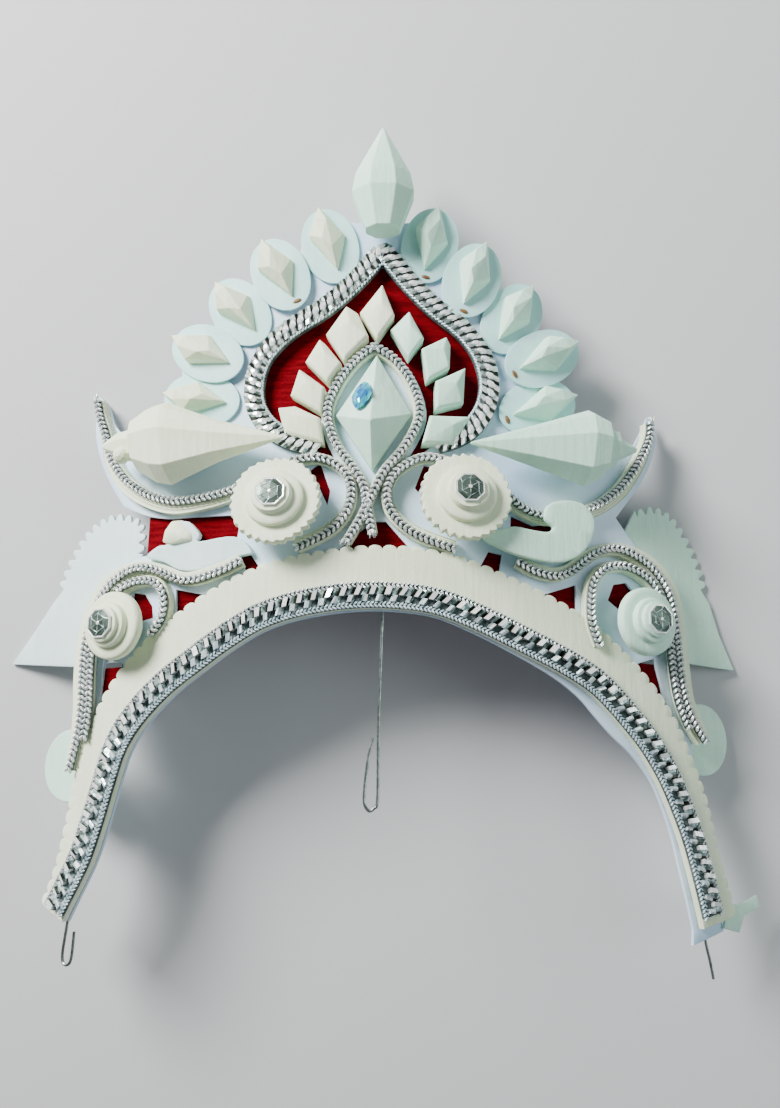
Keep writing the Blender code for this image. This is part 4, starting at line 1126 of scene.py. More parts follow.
class Wiring:
    """Adds and joins the nodes of one material or node group."""

    def __init__(self, tree: bpy.types.NodeTree) -> None:
        """Keeps the tree that is worked on."""
        self.tree = tree

    def add(
        self, kind: str, inputs: dict[str | int, object] | None = None, **settings: object
    ) -> bpy.types.Node:
        """Adds a node.

        Args:
            kind: the node's type, without its ShaderNode prefix.
            inputs: a value, or another node's output, for each named input.
            settings: the node's own settings.

        Returns:
            The node.
        """
        node = self.tree.nodes.new("ShaderNode" + kind)
        for name, value in settings.items():
            setattr(node, name, value)
        for name, value in (inputs or {}).items():
            if isinstance(value, bpy.types.NodeSocket):
                self.tree.links.new(value, node.inputs[name])
            else:
                node.inputs[name].default_value = value
        return node

    def place(self) -> bpy.types.NodeSocket:
        """Adds the place on the piece, in its own coordinates."""
        return self.add("TexCoord").outputs["Object"]

    def noise(self, place: object, scale: object, detail: float) -> bpy.types.NodeSocket:
        """Adds noise, and gives its value."""
        return self.add("TexNoise", {"Vector": place, "Scale": scale, "Detail": detail}).outputs[0]

    def math(self, operation: str, a: object, b: object = 0.0) -> bpy.types.NodeSocket:
        """Adds a sum of two values, and gives its output."""
        return self.add("Math", {0: a, 1: b}, operation=operation).outputs[0]

    def mix(self, share: object, a: object, b: object) -> bpy.types.NodeSocket:
        """Adds a mix of two colours, and gives its output."""
        return self.add("Mix", {0: share, 6: a, 7: b}, data_type="RGBA").outputs[2]

    def ramp(self, value: object, stops: Rows) -> bpy.types.NodeSocket:
        """Adds a grey ramp.

        Args:
            value: what goes in.
            stops: place and grey value of each stop.

        Returns:
            The ramp's output.
        """
        node = self.add("ValToRGB", {0: value})
        band = node.color_ramp
        while len(band.elements) < len(stops):
            band.elements.new(0.5)
        for stop, (place, grey) in zip(band.elements, stops):
            stop.position = place
            stop.color = (grey, grey, grey, 1.0)
        return node.outputs[0]


def group(name: str, inputs: dict[str, float], outputs: Sequence[str]) -> tuple[bpy.types.NodeTree, Wiring]:
    """Starts a node group with number sockets.

    Args:
        name: its name.
        inputs: its inputs and their usual values.
        outputs: its outputs.

    Returns:
        The group and its wiring.
    """
    tree = bpy.data.node_groups.new(name, "ShaderNodeTree")
    for label, value in inputs.items():
        socket = tree.interface.new_socket(label, in_out="INPUT", socket_type="NodeSocketFloat")
        socket.default_value = value
    for label in outputs:
        tree.interface.new_socket(label, in_out="OUTPUT", socket_type="NodeSocketFloat")
    return tree, Wiring(tree)


def pith_grain() -> bpy.types.NodeTree:
    """The fine cells and long knife strokes of cut pith, built once."""
    found = bpy.data.node_groups.get("pith_grain")
    if found:
        return found
    tree, work = group("pith_grain", {"Cells": 900.0, "Strokes": 60.0}, ("Shade", "Height"))
    given = work.tree.nodes.new("NodeGroupInput")
    place = work.place()
    cells = work.noise(place, given.outputs["Cells"], 4.0)
    long = work.add("Mapping", {"Vector": place, "Scale": (9.0, 1.0, 5.0)}).outputs[0]
    strokes = work.noise(long, given.outputs["Strokes"], 3.0)
    soft = work.noise(place, 45.0, 2.0)
    fine = work.ramp(cells, ((0.30, 0.0), (0.70, 1.0)))
    stroke = work.ramp(strokes, ((0.35, 0.0), (0.65, 1.0)))
    cloud = work.ramp(soft, ((0.35, 0.0), (0.70, 1.0)))
    both = work.math("ADD", work.math("MULTIPLY", fine, 0.25), work.math("MULTIPLY", stroke, 0.22))
    given_out = work.tree.nodes.new("NodeGroupOutput")
    shade = work.math("ADD", both, work.math("MULTIPLY", cloud, 0.50))
    tree.links.new(shade, given_out.inputs["Shade"])
    tree.links.new(work.math("ADD", work.math("MULTIPLY", fine, 0.35), stroke), given_out.inputs["Height"])
    return tree


def thread_weave() -> bpy.types.NodeTree:
    """The fine ridges of wound metal thread, with its tarnish, built once."""
    found = bpy.data.node_groups.get("thread_weave")
    if found:
        return found
    tree, work = group("thread_weave", {"Threads": 2200.0}, ("Tarnish", "Height"))
    given = work.tree.nodes.new("NodeGroupInput")
    place = work.place()
    ridges = work.add("TexWave", {"Vector": place, "Scale": given.outputs["Threads"], "Distortion": 2.5})
    spots = work.noise(place, 420.0, 3.0)
    end = work.tree.nodes.new("NodeGroupOutput")
    tree.links.new(work.ramp(spots, ((0.42, 0.0), (0.62, 1.0))), end.inputs["Tarnish"])
    tree.links.new(ridges.outputs["Fac"], end.inputs["Height"])
    return tree


@dataclass(frozen=True)
class Finish:
    """A surface with one colour that varies to another, and a roughness."""

    name: str
    slot: str
    light: tuple[float, float, float]
    deep: tuple[float, float, float]
    roughness: float
    metallic: float = 0.0

    def start(self) -> tuple[bpy.types.Material, Wiring, bpy.types.Node]:
        """Begins the material, and gives it with its wiring and its shader."""
        made = bpy.data.materials.new(self.name)
        made.use_nodes = True
        work = Wiring(made.node_tree)
        shader = made.node_tree.nodes["Principled BSDF"]
        shader.inputs["Roughness"].default_value = self.roughness
        shader.inputs["Metallic"].default_value = self.metallic
        return made, work, shader

    def material(self) -> bpy.types.Material:
        """The material, made the first time that it is asked for."""
        return bpy.data.materials.get(self.name) or self.make()

    def make(self) -> bpy.types.Material:
        """Builds the material."""
        raise NotImplementedError

    def colour(self, work: Wiring, shader: bpy.types.Node, share: object) -> None:
        """Colours the shader between the deep and the light colour, by a share."""
        mixed = work.mix(share, (*self.deep, 1.0), (*self.light, 1.0))
        work.tree.links.new(mixed, shader.inputs["Base Color"])

    def raise_by(
        self, work: Wiring, shader: bpy.types.Node, height: object, strength: float, distance: float
    ) -> None:
        """Gives the shader a fine relief.

        Args:
            work: the material's wiring.
            shader: the shader.
            height: what raises the surface.
            strength: how clearly it shows.
            distance: how high it rises, in metres.
        """
        bump = work.add("Bump", {"Height": height, "Strength": strength, "Distance": distance})
        work.tree.links.new(bump.outputs[0], shader.inputs["Normal"])


@dataclass(frozen=True)
class Pith(Finish):
    """Carved shola pith: matt, faintly see-through, with knife strokes."""

    cells: float = 900.0
    strokes: float = 60.0
    relief: float = 0.12

    def make(self) -> bpy.types.Material:
        """Builds the pith."""
        made, work, shader = self.start()
        grain = work.add("Group", node_tree=pith_grain())
        grain.inputs["Cells"].default_value = self.cells
        grain.inputs["Strokes"].default_value = self.strokes
        self.colour(work, shader, grain.outputs["Shade"])
        self.raise_by(work, shader, grain.outputs["Height"], 0.6, self.relief * MM)
        worn = work.math("MULTIPLY", grain.outputs["Shade"], 0.2)
        rough = work.math("SUBTRACT", self.roughness + 0.1, worn)
        work.tree.links.new(rough, shader.inputs["Roughness"])
        shader.inputs["Subsurface Weight"].default_value = 0.12
        shader.inputs["Subsurface Radius"].default_value = (1.0, 0.9, 0.75)
        shader.inputs["Subsurface Scale"].default_value = 2.0 * MM
        return made


@dataclass(frozen=True)
class CardStock(Finish):
    """Coated white card with a faint fibre."""

    def make(self) -> bpy.types.Material:
        """Builds the card."""
        made, work, shader = self.start()
        place = work.place()
        fibre = work.noise(place, 1500.0, 5.0)
        cloud = work.noise(place, 30.0, 2.0)
        self.colour(work, shader, work.ramp(cloud, ((0.35, 0.0), (0.65, 1.0))))
        self.raise_by(work, shader, fibre, 0.25, 0.05 * MM)
        return made


@dataclass(frozen=True)
class Velvet(Finish):
    """Deep red velvet with its nap."""

    def make(self) -> bpy.types.Material:
        """Builds the velvet."""
        made, work, shader = self.start()
        place = work.place()
        nap = work.noise(place, 2600.0, 3.0)
        rows = work.add("Mapping", {"Vector": place, "Scale": (1.0, 7.0, 1.0)}).outputs[0]
        ribs = work.noise(rows, 130.0, 3.0)
        laid = work.math("MULTIPLY", nap, 0.4)
        share = work.math("ADD", laid, work.math("MULTIPLY", ribs, 0.6))
        self.colour(work, shader, work.ramp(share, ((0.38, 0.0), (0.62, 1.0))))
        self.raise_by(work, shader, share, 0.5, 0.2 * MM)
        shader.inputs["Specular IOR Level"].default_value = 0.05
        return made


@dataclass(frozen=True)
class Thread(Finish):
    """Woven silver thread, dulled in spots of tarnish."""

    threads: float = 2200.0

    def make(self) -> bpy.types.Material:
        """Builds the thread."""
        made, work, shader = self.start()
        weave = work.add("Group", node_tree=thread_weave())
        weave.inputs["Threads"].default_value = self.threads
        self.colour(work, shader, weave.outputs["Tarnish"])
        self.raise_by(work, shader, weave.outputs["Height"], 0.5, 0.12 * MM)
        return made


@dataclass(frozen=True)
class Foil(Finish):
    """Bright crimped foil, a little crumpled."""

    crumple: float = 620.0

    def make(self) -> bpy.types.Material:
        """Builds the foil."""
        made, work, shader = self.start()
        place = work.place()
        creases = work.add("TexVoronoi", {"Vector": place, "Scale": self.crumple}, feature="SMOOTH_F1")
        spots = work.noise(place, 640.0, 3.0)
        self.colour(work, shader, work.ramp(spots, ((0.42, 0.0), (0.56, 1.0))))
        self.raise_by(work, shader, creases.outputs["Distance"], 0.35, 0.2 * MM)
        return made


@dataclass(frozen=True)
class Jewel(Finish):
    """A hard stone or mirror whose colour varies in patches; on the mirror, its dark colour and patches are
    a painted reflection.
    """

    patches: float = 300.0
    coat: float = 0.8

    def make(self) -> bpy.types.Material:
        """Builds the stone or mirror."""
        made, work, shader = self.start()
        place = work.place()
        patch = work.add("TexVoronoi", {"Vector": place, "Scale": self.patches})
        grey = work.add("SeparateColor", {0: patch.outputs["Color"]}).outputs[0]
        self.colour(work, shader, grey)
        shader.inputs["Coat Weight"].default_value = self.coat
        shader.inputs["Coat Roughness"].default_value = 0.03
        return made


CREAM_PITH = Pith("cream_pith", "shola", (0.90, 0.95, 0.76), (0.74, 0.83, 0.58), 0.62)
AQUA_PITH = Pith("aqua_pith", "shola", (0.71, 0.94, 0.81), (0.51, 0.82, 0.66), 0.62)
THIN_PITH = Pith(
    "thin_pith", "shola", (0.56, 0.88, 0.85), (0.42, 0.76, 0.74), 0.55, strokes=40.0, relief=0.06
)
PALE_PITH = Pith("pale_pith", "shola", (0.76, 0.92, 0.93), (0.58, 0.78, 0.79), 0.6, strokes=40.0)
CARD = CardStock("coated_card", "white_card", (0.68, 0.83, 0.98), (0.54, 0.71, 0.92), 0.5)
VELVET = Velvet("crimson_velvet", "red_velvet", (0.170, 0.001, 0.006), (0.070, 0.000, 0.002), 0.9)
SILVER = Thread("silver_thread", "silver_braid", (1.00, 1.00, 1.00), (0.62, 0.70, 0.70), 0.25, 0.65)
PALE_THREAD = Thread("pale_thread", "silver_braid", (0.74, 0.87, 0.92), (0.48, 0.62, 0.68), 0.36, 0.35)
# A backing painted near black: painted shade for the shadow in the gaps between stitches and folds.
SHADE_BACKING = Thread("painted_shade_backing", "silver_braid", (0.14, 0.18, 0.18), (0.05, 0.08, 0.08), 0.6, 0.3)
# Copies of one foil painted lit, half-lit and shaded: painted highlight, reflection and shade for how each
# crimp faces the light.
LIT_FOIL = Foil("bright_foil", "silver_foil", (1.00, 1.00, 1.00), (0.93, 0.98, 0.98), 0.24, 0.35)
HALF_LIT_FOIL = Foil("painted_half_lit_foil", "silver_foil", (0.62, 0.76, 0.77), (0.12, 0.18, 0.17), 0.28, 0.50)
SHADED_FOIL = Foil("painted_shaded_foil", "silver_foil", (0.06, 0.07, 0.05), (0.01, 0.02, 0.015), 0.30, 0.60)
# The mirror's dark glass colour and its patches are a painted reflection, in place of a reflecting mirror.
PAINTED_REFLECTION_MIRROR = Jewel(
    "cut_mirror_painted_reflection", "mirror_glass", (0.12, 0.17, 0.14), (0.02, 0.04, 0.03), 0.34, 0.45,
    patches=330.0, coat=0.05,
)
STONE = Jewel("cut_stone", "blue_stone", (0.04, 0.60, 0.70), (0.03, 0.09, 0.48), 0.10, 0.35, patches=520.0)
STEEL = Foil("drawn_steel", "steel_wire", (0.36, 0.40, 0.38), (0.22, 0.26, 0.24), 0.32, 1.0, crumple=900.0)
GLUE = Pith("dried_glue", "shola", (0.26, 0.14, 0.05), (0.13, 0.06, 0.02), 0.35, relief=0.2)


def side_tint_and_shade_pith(name: str) -> Pith:
    """The pith of a piece, aqua on the right half and cream on the left as in the photograph; the right
    half's darker aqua is partly the pith's tint and partly painted shade.
    """
    return AQUA_PITH if name.startswith("right") else CREAM_PITH


def hewn(points: Sequence[Sequence[float]], edge: float = 0.16 * MM) -> Mesh:
    """Carves the solid that just holds some points, its edges broken.

    Args:
        points: its corners.
        edge: how far its edges are broken.

    Returns:
        The solid.
    """
    work = bmesh.new()
    for point in points:
        work.verts.new(point)
    bmesh.ops.convex_hull(work, input=work.verts)
    loose = [v for v in work.verts if not v.link_faces]
    bmesh.ops.delete(work, geom=loose, context="VERTS")
    bmesh.ops.dissolve_limit(work, angle_limit=math.radians(3), verts=work.verts, edges=work.edges)
    bmesh.ops.recalc_face_normals(work, faces=work.faces)
    mesh = bpy.data.meshes.new("hewn")
    work.to_mesh(mesh)
    work.free()
    return softened(mesh, edge, 10.0)


def pleats(
    path: Sequence[Vector],
    reach: tuple[float, float],
    foot: float,
    folds: Sequence[tuple[float, float, int]],
    seed: int,
) -> list[tuple[Mesh, int]]:
    """Folds foil into flat facets along a line, one set of folds for each step of it.

    Args:
        path: evenly spaced points.
        reach: the foil's two edges, to the left of the line.
        foot: the height that it stands on.
        folds: share along, height, and the finish of the facet that follows, its painted lit or shaded tone.
        seed: what the unevenness starts from.

    Returns:
        One mesh for each finish, with its number.
    """
    rng = random.Random(seed)
    ways = normals(path)
    made: dict[int, tuple[list[Sequence[float]], list[Sequence[int]]]] = {}

    def corner(step: int, along: float, across: float, height: float) -> tuple[float, float, float]:
        """A point over the line."""
        after = min(step + 1, len(path) - 1)
        place = path[step].lerp(path[after], along) + ways[step].lerp(ways[after], along) * across
        return (place.x, place.y, height)

    before = None
    for step in range(len(path) - 1):
        skew = 0.11 + rng.uniform(-0.05, 0.05)
        row = []
        for along, height, finish in folds:
            rise = height * rng.uniform(0.85, 1.12)
            slip = along + rng.uniform(-0.04, 0.04) if along > 0 else 0.0
            row.append((step, slip, foot + rise, foot + rise * rng.uniform(0.86, 1.14), finish, skew))
        run = ([before] if before else []) + row
        for a, b in zip(run, run[1:]):
            points, faces = made.setdefault(a[4], ([], []))
            first = len(points)
            for at_step, along, high, low, _, lean in (a, b):
                points.append(corner(at_step, along, reach[0], foot))
                points.append(corner(at_step, along + lean, reach[0], high))
                points.append(corner(at_step, along - lean, reach[1], low))
                points.append(corner(at_step, along, reach[1], foot))
            for k in range(3):
                faces.append((first + k, first + k + 1, first + k + 5, first + k + 4))
        before = row[-1]
    return [(mesh_from(points, faces), finish) for finish, (points, faces) in made.items()]


def teardrop_line(steps: int) -> list[Vector]:
    """The middle line of the teardrop, with its point kept sharp."""
    point = max(range(len(TEARDROP)), key=lambda i: TEARDROP[i][1])
    rows = [at(row) for row in TEARDROP]
    return smooth(rows[: point + 1], steps)[:-1] + smooth(rows[point:], steps)


@dataclass
class Bench:
    """Finishes pieces and fixes them on the crown."""

    form: HeadForm
    count: int = 0

    def fix(
        self,
        name: str,
        mesh: Mesh,
        finishes: Sequence[Finish],
        nodes: Sequence[str],
        bend: Bend = Bend.FRONT,
        round_below: float = 30.0,
        faceted: Sequence[int] = (),
    ) -> bpy.types.Object:
        """Makes a piece of a mesh and puts it in its place.

        Args:
            name: the piece's name.
            mesh: its mesh on the flat pattern, or upright if it is rigid.
            finishes: its finishes, by the numbers in the mesh.
            nodes: the solids that it stands for.
            bend: how it is bent.
            round_below: corners under this angle, in degrees, are shaded round.
            faceted: the finishes whose faces stay flat.

        Returns:
            The piece.
        """
        self.form.place(mesh, bend)
        for finish in finishes:
            mesh.materials.append(finish.material())
        mesh.shade_smooth()
        mesh.set_sharp_from_angle(angle=math.radians(round_below))
        if faceted:
            kinds = np.empty(len(mesh.polygons), np.int32)
            mesh.polygons.foreach_get("material_index", kinds)
            mesh.polygons.foreach_set("use_smooth", ~np.isin(kinds, faceted))
        made = bpy.data.objects.new(name, mesh)
        bpy.context.scene.collection.objects.link(made)
        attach(made, "root")
        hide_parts(*nodes)
        self.count += 1
        log.info("%s: %d faces", name, len(mesh.polygons))
        return made


@dataclass
class CardFront:
    """The pierced card and the velvet glued behind it."""

    bench: Bench
    trim_width: float = 7.0 * MM
    hem_in: float = 2.8 * MM
    unevenness: float = 0.12 * MM

    def outline(self) -> list[Vector]:
        """The card's outer line: down one arm, over the top and back along the arch."""
        arch = drawn(ARCH)
        beyond = reaches(ARCH)
        top = cornered(CARD_TOP, 5)
        hem = beside(arch, [b.x - self.hem_in for b in beyond])
        left_arm = [p for p in hem if p.x < 0 and p.y < top[0].y - GAP]
        right_arm = [p for p in hem if p.x > 0 and p.y < top[-1].y - GAP]
        foot = [at(corner) for corner in CARD_FOOT_RIGHT]
        return left_arm + top + right_arm + foot + beside(arch, [-b.y for b in beyond])[::-1]

    def holes(self) -> list[list[Vector]]:
        """The field inside the teardrop, and the windows."""
        tear = teardrop_line(4)
        leaf = [drawn(rows, 4) for rows in (LEAF_LEFT, LEAF_RIGHT)]
        round_middle = 4 * sum(a[0] <= b[0] for a, b in zip(LEAF_LEFT, LEAF_RIGHT)) - 8
        rim = self.trim_width / 2 - 0.8 * MM
        edge = beside(leaf[0][2:round_middle][::-1], BRAID_WIDTH)
        edge += beside(leaf[1][2:round_middle], BRAID_WIDTH)
        inside = off_line(beside(tear, -rim)[8:-8], tear, rim)
        return [inside + edge[::-1]] + [[at(corner) for corner in corners] for corners in WINDOWS]

    def build(self) -> None:
        """Cuts the card and the velvet."""
        card = plate(self.outline(), 0.0, CARD_THICK, self.holes(), edge=0.10 * MM)
        self.bench.fix("pierced_card", card, [CARD], ["base_card"])
        ring = [at(row) for row in CLOTH]
        cloth = plate(ring, BACK - CLOTH_THICK, CLOTH_THICK, edge=0.2 * MM, column=3 * MM)
        creased(cloth, 3 * MM, 1)
        for vertex in cloth.vertices:
            u, v, _ = vertex.co
            wave = math.sin(u / (5.3 * MM) + 1.7 * math.sin(v / (9.1 * MM))) * math.sin(v / (6.7 * MM))
            vertex.co.z += self.unevenness * (wave - 1.0)
        velvet = self.bench.fix("velvet_backing", cloth, [VELVET], ["red_cloth"])


@dataclass
class ArchBand:
    """The scalloped pith band along the arch and the silver lace on it."""

    bench: Bench
    tooth_pitch: float = 4.6 * MM
    tooth_depth: float = 1.4 * MM
    tooth: Rows = ((0.0, 0.0), (0.10, 0.62), (0.30, 0.95), (0.52, 1.0), (0.76, 0.86), (0.93, 0.42))
    lace_width: float = 8.6 * MM
    fold: float = 4.6 * MM

    def build(self) -> None:
        """Cuts the band, then lays the lace."""
        arch = drawn(ARCH)
        beyond = reaches(ARCH)
        rim = beside(arch, [b.x for b in beyond])
        scallops = scalloped(rim, self.tooth_pitch, self.tooth_depth, self.tooth)
        inner = beside(arch, -self.lace_width / 2)
        band = plate(scallops + inner[::-1], FRONT, BAND_THICK, edge=0.30 * MM)
        self.bench.fix("scalloped_band", band, [CREAM_PITH], ["rim_band"], round_below=40.0)
        self.lace(arch[2:-2])

    def lace(self, path: list[Vector]) -> None:
        """Lays the lace: a twisted cord outside, folded foil in two rows, and a pale chain inside."""
        half = self.lace_width / 2
        top = 0.8 * MM
        section = ((1, 0, 0), (1, 0.2 * MM, top), (-1, 0.2 * MM, top), (-1, 0, 0))
        parts = [(swept(spaced(path, 1.5 * MM), half, half, BAND_TOP, section), Lace.SHADE_BACKING)]
        folds = spaced(path, self.fold)
        # The facets' finishes are painted tones: lit, half-lit, shaded and pale for the light each fold
        # catches or loses.
        outer = (
            (0.00, 0.9 * MM, Lace.SHADED),
            (0.07, 2.8 * MM, Lace.LIT),
            (0.39, 2.9 * MM, Lace.SHADED),
            (0.42, 1.7 * MM, Lace.HALF_LIT),
            (0.60, 2.0 * MM, Lace.HALF_LIT),
            (0.82, 1.2 * MM, Lace.SHADED),
        )
        inner = (
            (0.00, 0.4 * MM, Lace.SHADED),
            (0.40, 0.4 * MM, Lace.SHADED),
            (0.46, 2.4 * MM, Lace.PALE),
            (0.62, 2.4 * MM, Lace.LIT),
            (0.78, 2.0 * MM, Lace.HALF_LIT),
        )
        parts += pleats(folds, (2.50 * MM, -0.15 * MM), BAND_TOP, outer, 3)
        parts += pleats(folds, (-0.15 * MM, -2.25 * MM), BAND_TOP, inner, 5)
        cord = spaced(path, 1.35 * MM)
        ways = normals(cord)
        cords = (
            (3.80, 32, Lace.CORD),
            (2.90, -38, Lace.CORD),
            (-2.80, 36, Lace.CHAIN),
            (-3.75, -36, Lace.CHAIN),
        )
        for across, turn, kind in cords:
            middles = [p + w * across * MM for p, w in zip(cord, ways)]
            size = (1.80 * MM, 0.78 * MM, 1.15 * MM)
            parts.append((beads(middles, ways, BAND_TOP + 1.05 * MM, turn, size, 6, 4), kind))
        finishes = [SHADE_BACKING, LIT_FOIL, HALF_LIT_FOIL, SHADED_FOIL, PALE_THREAD, SILVER, PALE_THREAD]
        flat = [Lace.LIT, Lace.HALF_LIT, Lace.SHADED, Lace.PALE]
        self.bench.fix("arch_lace", gathered(parts), finishes, ["rim_trim"], faceted=flat)


@dataclass
class Braid:
    """A flat silver braid: two rows of slanted stitches on a backing painted dark as the shade between them.
    """

    pitch: float = 1.85 * MM
    slant: float = 40.0
    stitch: tuple[float, float, float] = (2.40 * MM, 1.16 * MM, 1.35 * MM)

    def along(self, path: Sequence[Vector], lift: float = 0.0) -> list[tuple[Mesh, int]]:
        """Lays the braid along a line.

        Args:
            path: the line.
            lift: how far it is lifted where it crosses another.

        Returns:
            Its backing and its stitches, with the numbers of their finishes.
        """
        steps = spaced(path, self.pitch)
        ways = normals(steps)
        foot = BRAID_FOOT + lift
        half = BRAID_WIDTH / 2 - 0.1 * MM
        section = ((1, 0, 0), (1, 0, 0.5 * MM), (-1, 0, 0.5 * MM), (-1, 0, 0))
        parts = [(swept(steps, half, half, foot, section), 0)]
        for side in (1, -1):
            middles = [p + w * side * 0.64 * MM for p, w in zip(steps, ways)]
            parts.append((beads(middles, ways, foot + 1.1 * MM, side * self.slant, self.stitch), 1))
        return parts

    def tuft(self, end: Vector, before: Vector, seed: int) -> Mesh:
        """Frays the braid's end into fine threads.

        Args:
            end: where it ends.
            before: a point shortly before.
            seed: what the unevenness starts from.

        Returns:
            The threads.
        """
        rng = random.Random(seed)
        way = (end - before).normalized()
        side = Vector((-way.y, way.x))
        threads = bpy.data.curves.new("tuft", "CURVE")
        threads.dimensions = "3D"
        threads.bevel_depth = 0.15 * MM
        for _ in range(15):
            across = rng.uniform(-1.0, 1.0) * MM
            high = BRAID_FOOT + rng.uniform(0.4, 1.5) * MM
            length = rng.uniform(1.2, 3.0) * MM
            line = []
            for step in range(5):
                share = step / 4
                spread = across * (1.0 + 0.9 * share**2)
                place = end + way * length * (share - 0.25) + side * spread
                line.append(Vector((place.x, place.y, high + 0.5 * MM * math.sin(3 * share + across / MM))))
            add_line(threads, line, False)
        return mesh_of(threads)


@dataclass
class Scrolls:
    """The layered pith scrolls and the silver braids on them."""

    bench: Bench
    braid: Braid = field(default_factory=Braid)
    layer: float = 1.0 * MM
    groove: float = 0.16 * MM

    def section(self, outer: int = 0) -> list[tuple[float, float, float]]:
        """A strip's cross-section, with the joints of its three layers.

        Args:
            outer: the side, 1 for left or -1 for right, where the layers also step down, if one is.

        Returns:
            Share of the reach, inset and height of each corner.
        """
        steps = (
            (0.90, 0.65), (0.74, 0.55), (0.71, 0.95), (0.68, 0.30),
            (0.52, 0.25), (0.49, 0.70), (0.46, 0.0),
        )
        wall = [(0.0, 0.0)]
        for joint in (1, 2):
            height = joint * self.layer
            wall += [(0.0, height - 0.12 * MM), (self.groove, height), (0.0, height + 0.12 * MM)]
        wall += [(0.0, STRIP_THICK - 0.22 * MM), (0.22 * MM, STRIP_THICK)]
        left = [(1.0, inset, height) for inset, height in wall]
        right = [(-1.0, inset, height) for inset, height in reversed(wall)]
        down = [(outer * share, 0.0, STRIP_THICK - fall * MM) for share, fall in steps]
        if outer > 0:
            return left[:-1] + down + right
        return left + down[::-1] + right[1:] if outer else left + right

    def strip(self, rows: Rows, leftward: bool, lower: float = 0.0) -> tuple[list[Vector], Mesh]:
        """Cuts one strip.

        Args:
            rows: across, up, reach outward and reach inward.
            leftward: whether inward is to the left of the way.
            lower: how much lower its top lies, where it meets another strip.

        Returns:
            Its middle line and its mesh.
        """
        path = drawn(rows)
        widths = reaches(rows)
        out = [w.x for w in widths]
        inward = [w.y for w in widths]
        left, right = (inward, out) if leftward else (out, inward)
        profile = self.section(0 if lower else -1 if leftward else 1)
        section = [
            (share, inset, height - (lower if height > self.layer else 0.0))
            for share, inset, height in profile
        ]
        return path, swept(path, left, right, FRONT, section)

    def build(self) -> None:
        """Builds the upper scrolls, the side scrolls and the leaf."""
        for side, rows in (("left", SCROLL_LEFT), ("right", SCROLL_RIGHT)):
            path, strip = self.strip(rows, side == "left")
            self.bench.fix("scroll_" + side, strip, [CREAM_PITH], ["scroll_strip_" + side])
            self.lay("scroll_rope_" + side, [(path, 0.0)], ["scroll_braid_" + side], lambda p: abs(p.x))
        sides = (
            ("left", SIDE_STRIP_LEFT, HOOK_LEFT, BRAID_DOWN_LEFT),
            ("right", SIDE_STRIP_RIGHT, HOOK_RIGHT, BRAID_DOWN_RIGHT),
        )
        for side, rows, hook, down in sides:
            path, strip = self.strip(rows, side != "left")
            _, ring = self.strip(hook, side == "left", 0.05 * MM)
            both = gathered([(strip, 0), (ring, 0)])
            self.bench.fix("side_scroll_" + side, both, [CREAM_PITH], ["side_strip_" + side])
            self.lay("outer_rope_" + side, [(path, 0.0)], ["side_braid_outer_" + side])
            inner = drawn((*hook[::-1], *down))
            self.lay("inner_rope_" + side, [(inner, 0.0)], ["side_braid_inner_" + side])
        lines = [drawn(rows) for rows in (LEAF_LEFT, LEAF_RIGHT)]
        edge = BRAID_WIDTH / 2 + 0.6 * MM
        left = swept(lines[0], edge, BRAID_WIDTH / 2, FRONT, self.section())
        right = swept(lines[1], BRAID_WIDTH / 2, edge, FRONT - 0.04 * MM, self.section())
        self.bench.fix("leaf_edge", gathered([(left, 0), (right, 0)]), [CREAM_PITH], ["leaf_strip"])
        self.lay("leaf_rope", [(lines[0], 0.0), (lines[1], 0.25 * MM)], ["leaf_braid"], lambda p: -p.y)

    def lay(
        self,
        name: str,
        runs: Sequence[tuple[Sequence[Vector], float]],
        nodes: Sequence[str],
        frayed: Callable[[Vector], float] | None = None,
    ) -> None:
        """Lays one braid.

        Args:
            name: its name.
            runs: its lines, and how far each is lifted.
            nodes: the solids that it stands for.
            frayed: what is greatest at the end of each line that is frayed, if one is.
        """
        parts = []
        for seed, (path, lift) in enumerate(runs):
            parts += self.braid.along(path, lift)
            if frayed:
                ends = ((path[-1], path[-3]), (path[0], path[2]))
                parts.append((self.braid.tuft(*max(ends, key=lambda pair: frayed(pair[0])), seed), 1))
        self.bench.fix(name, gathered(parts), [SHADE_BACKING, SILVER], nodes)


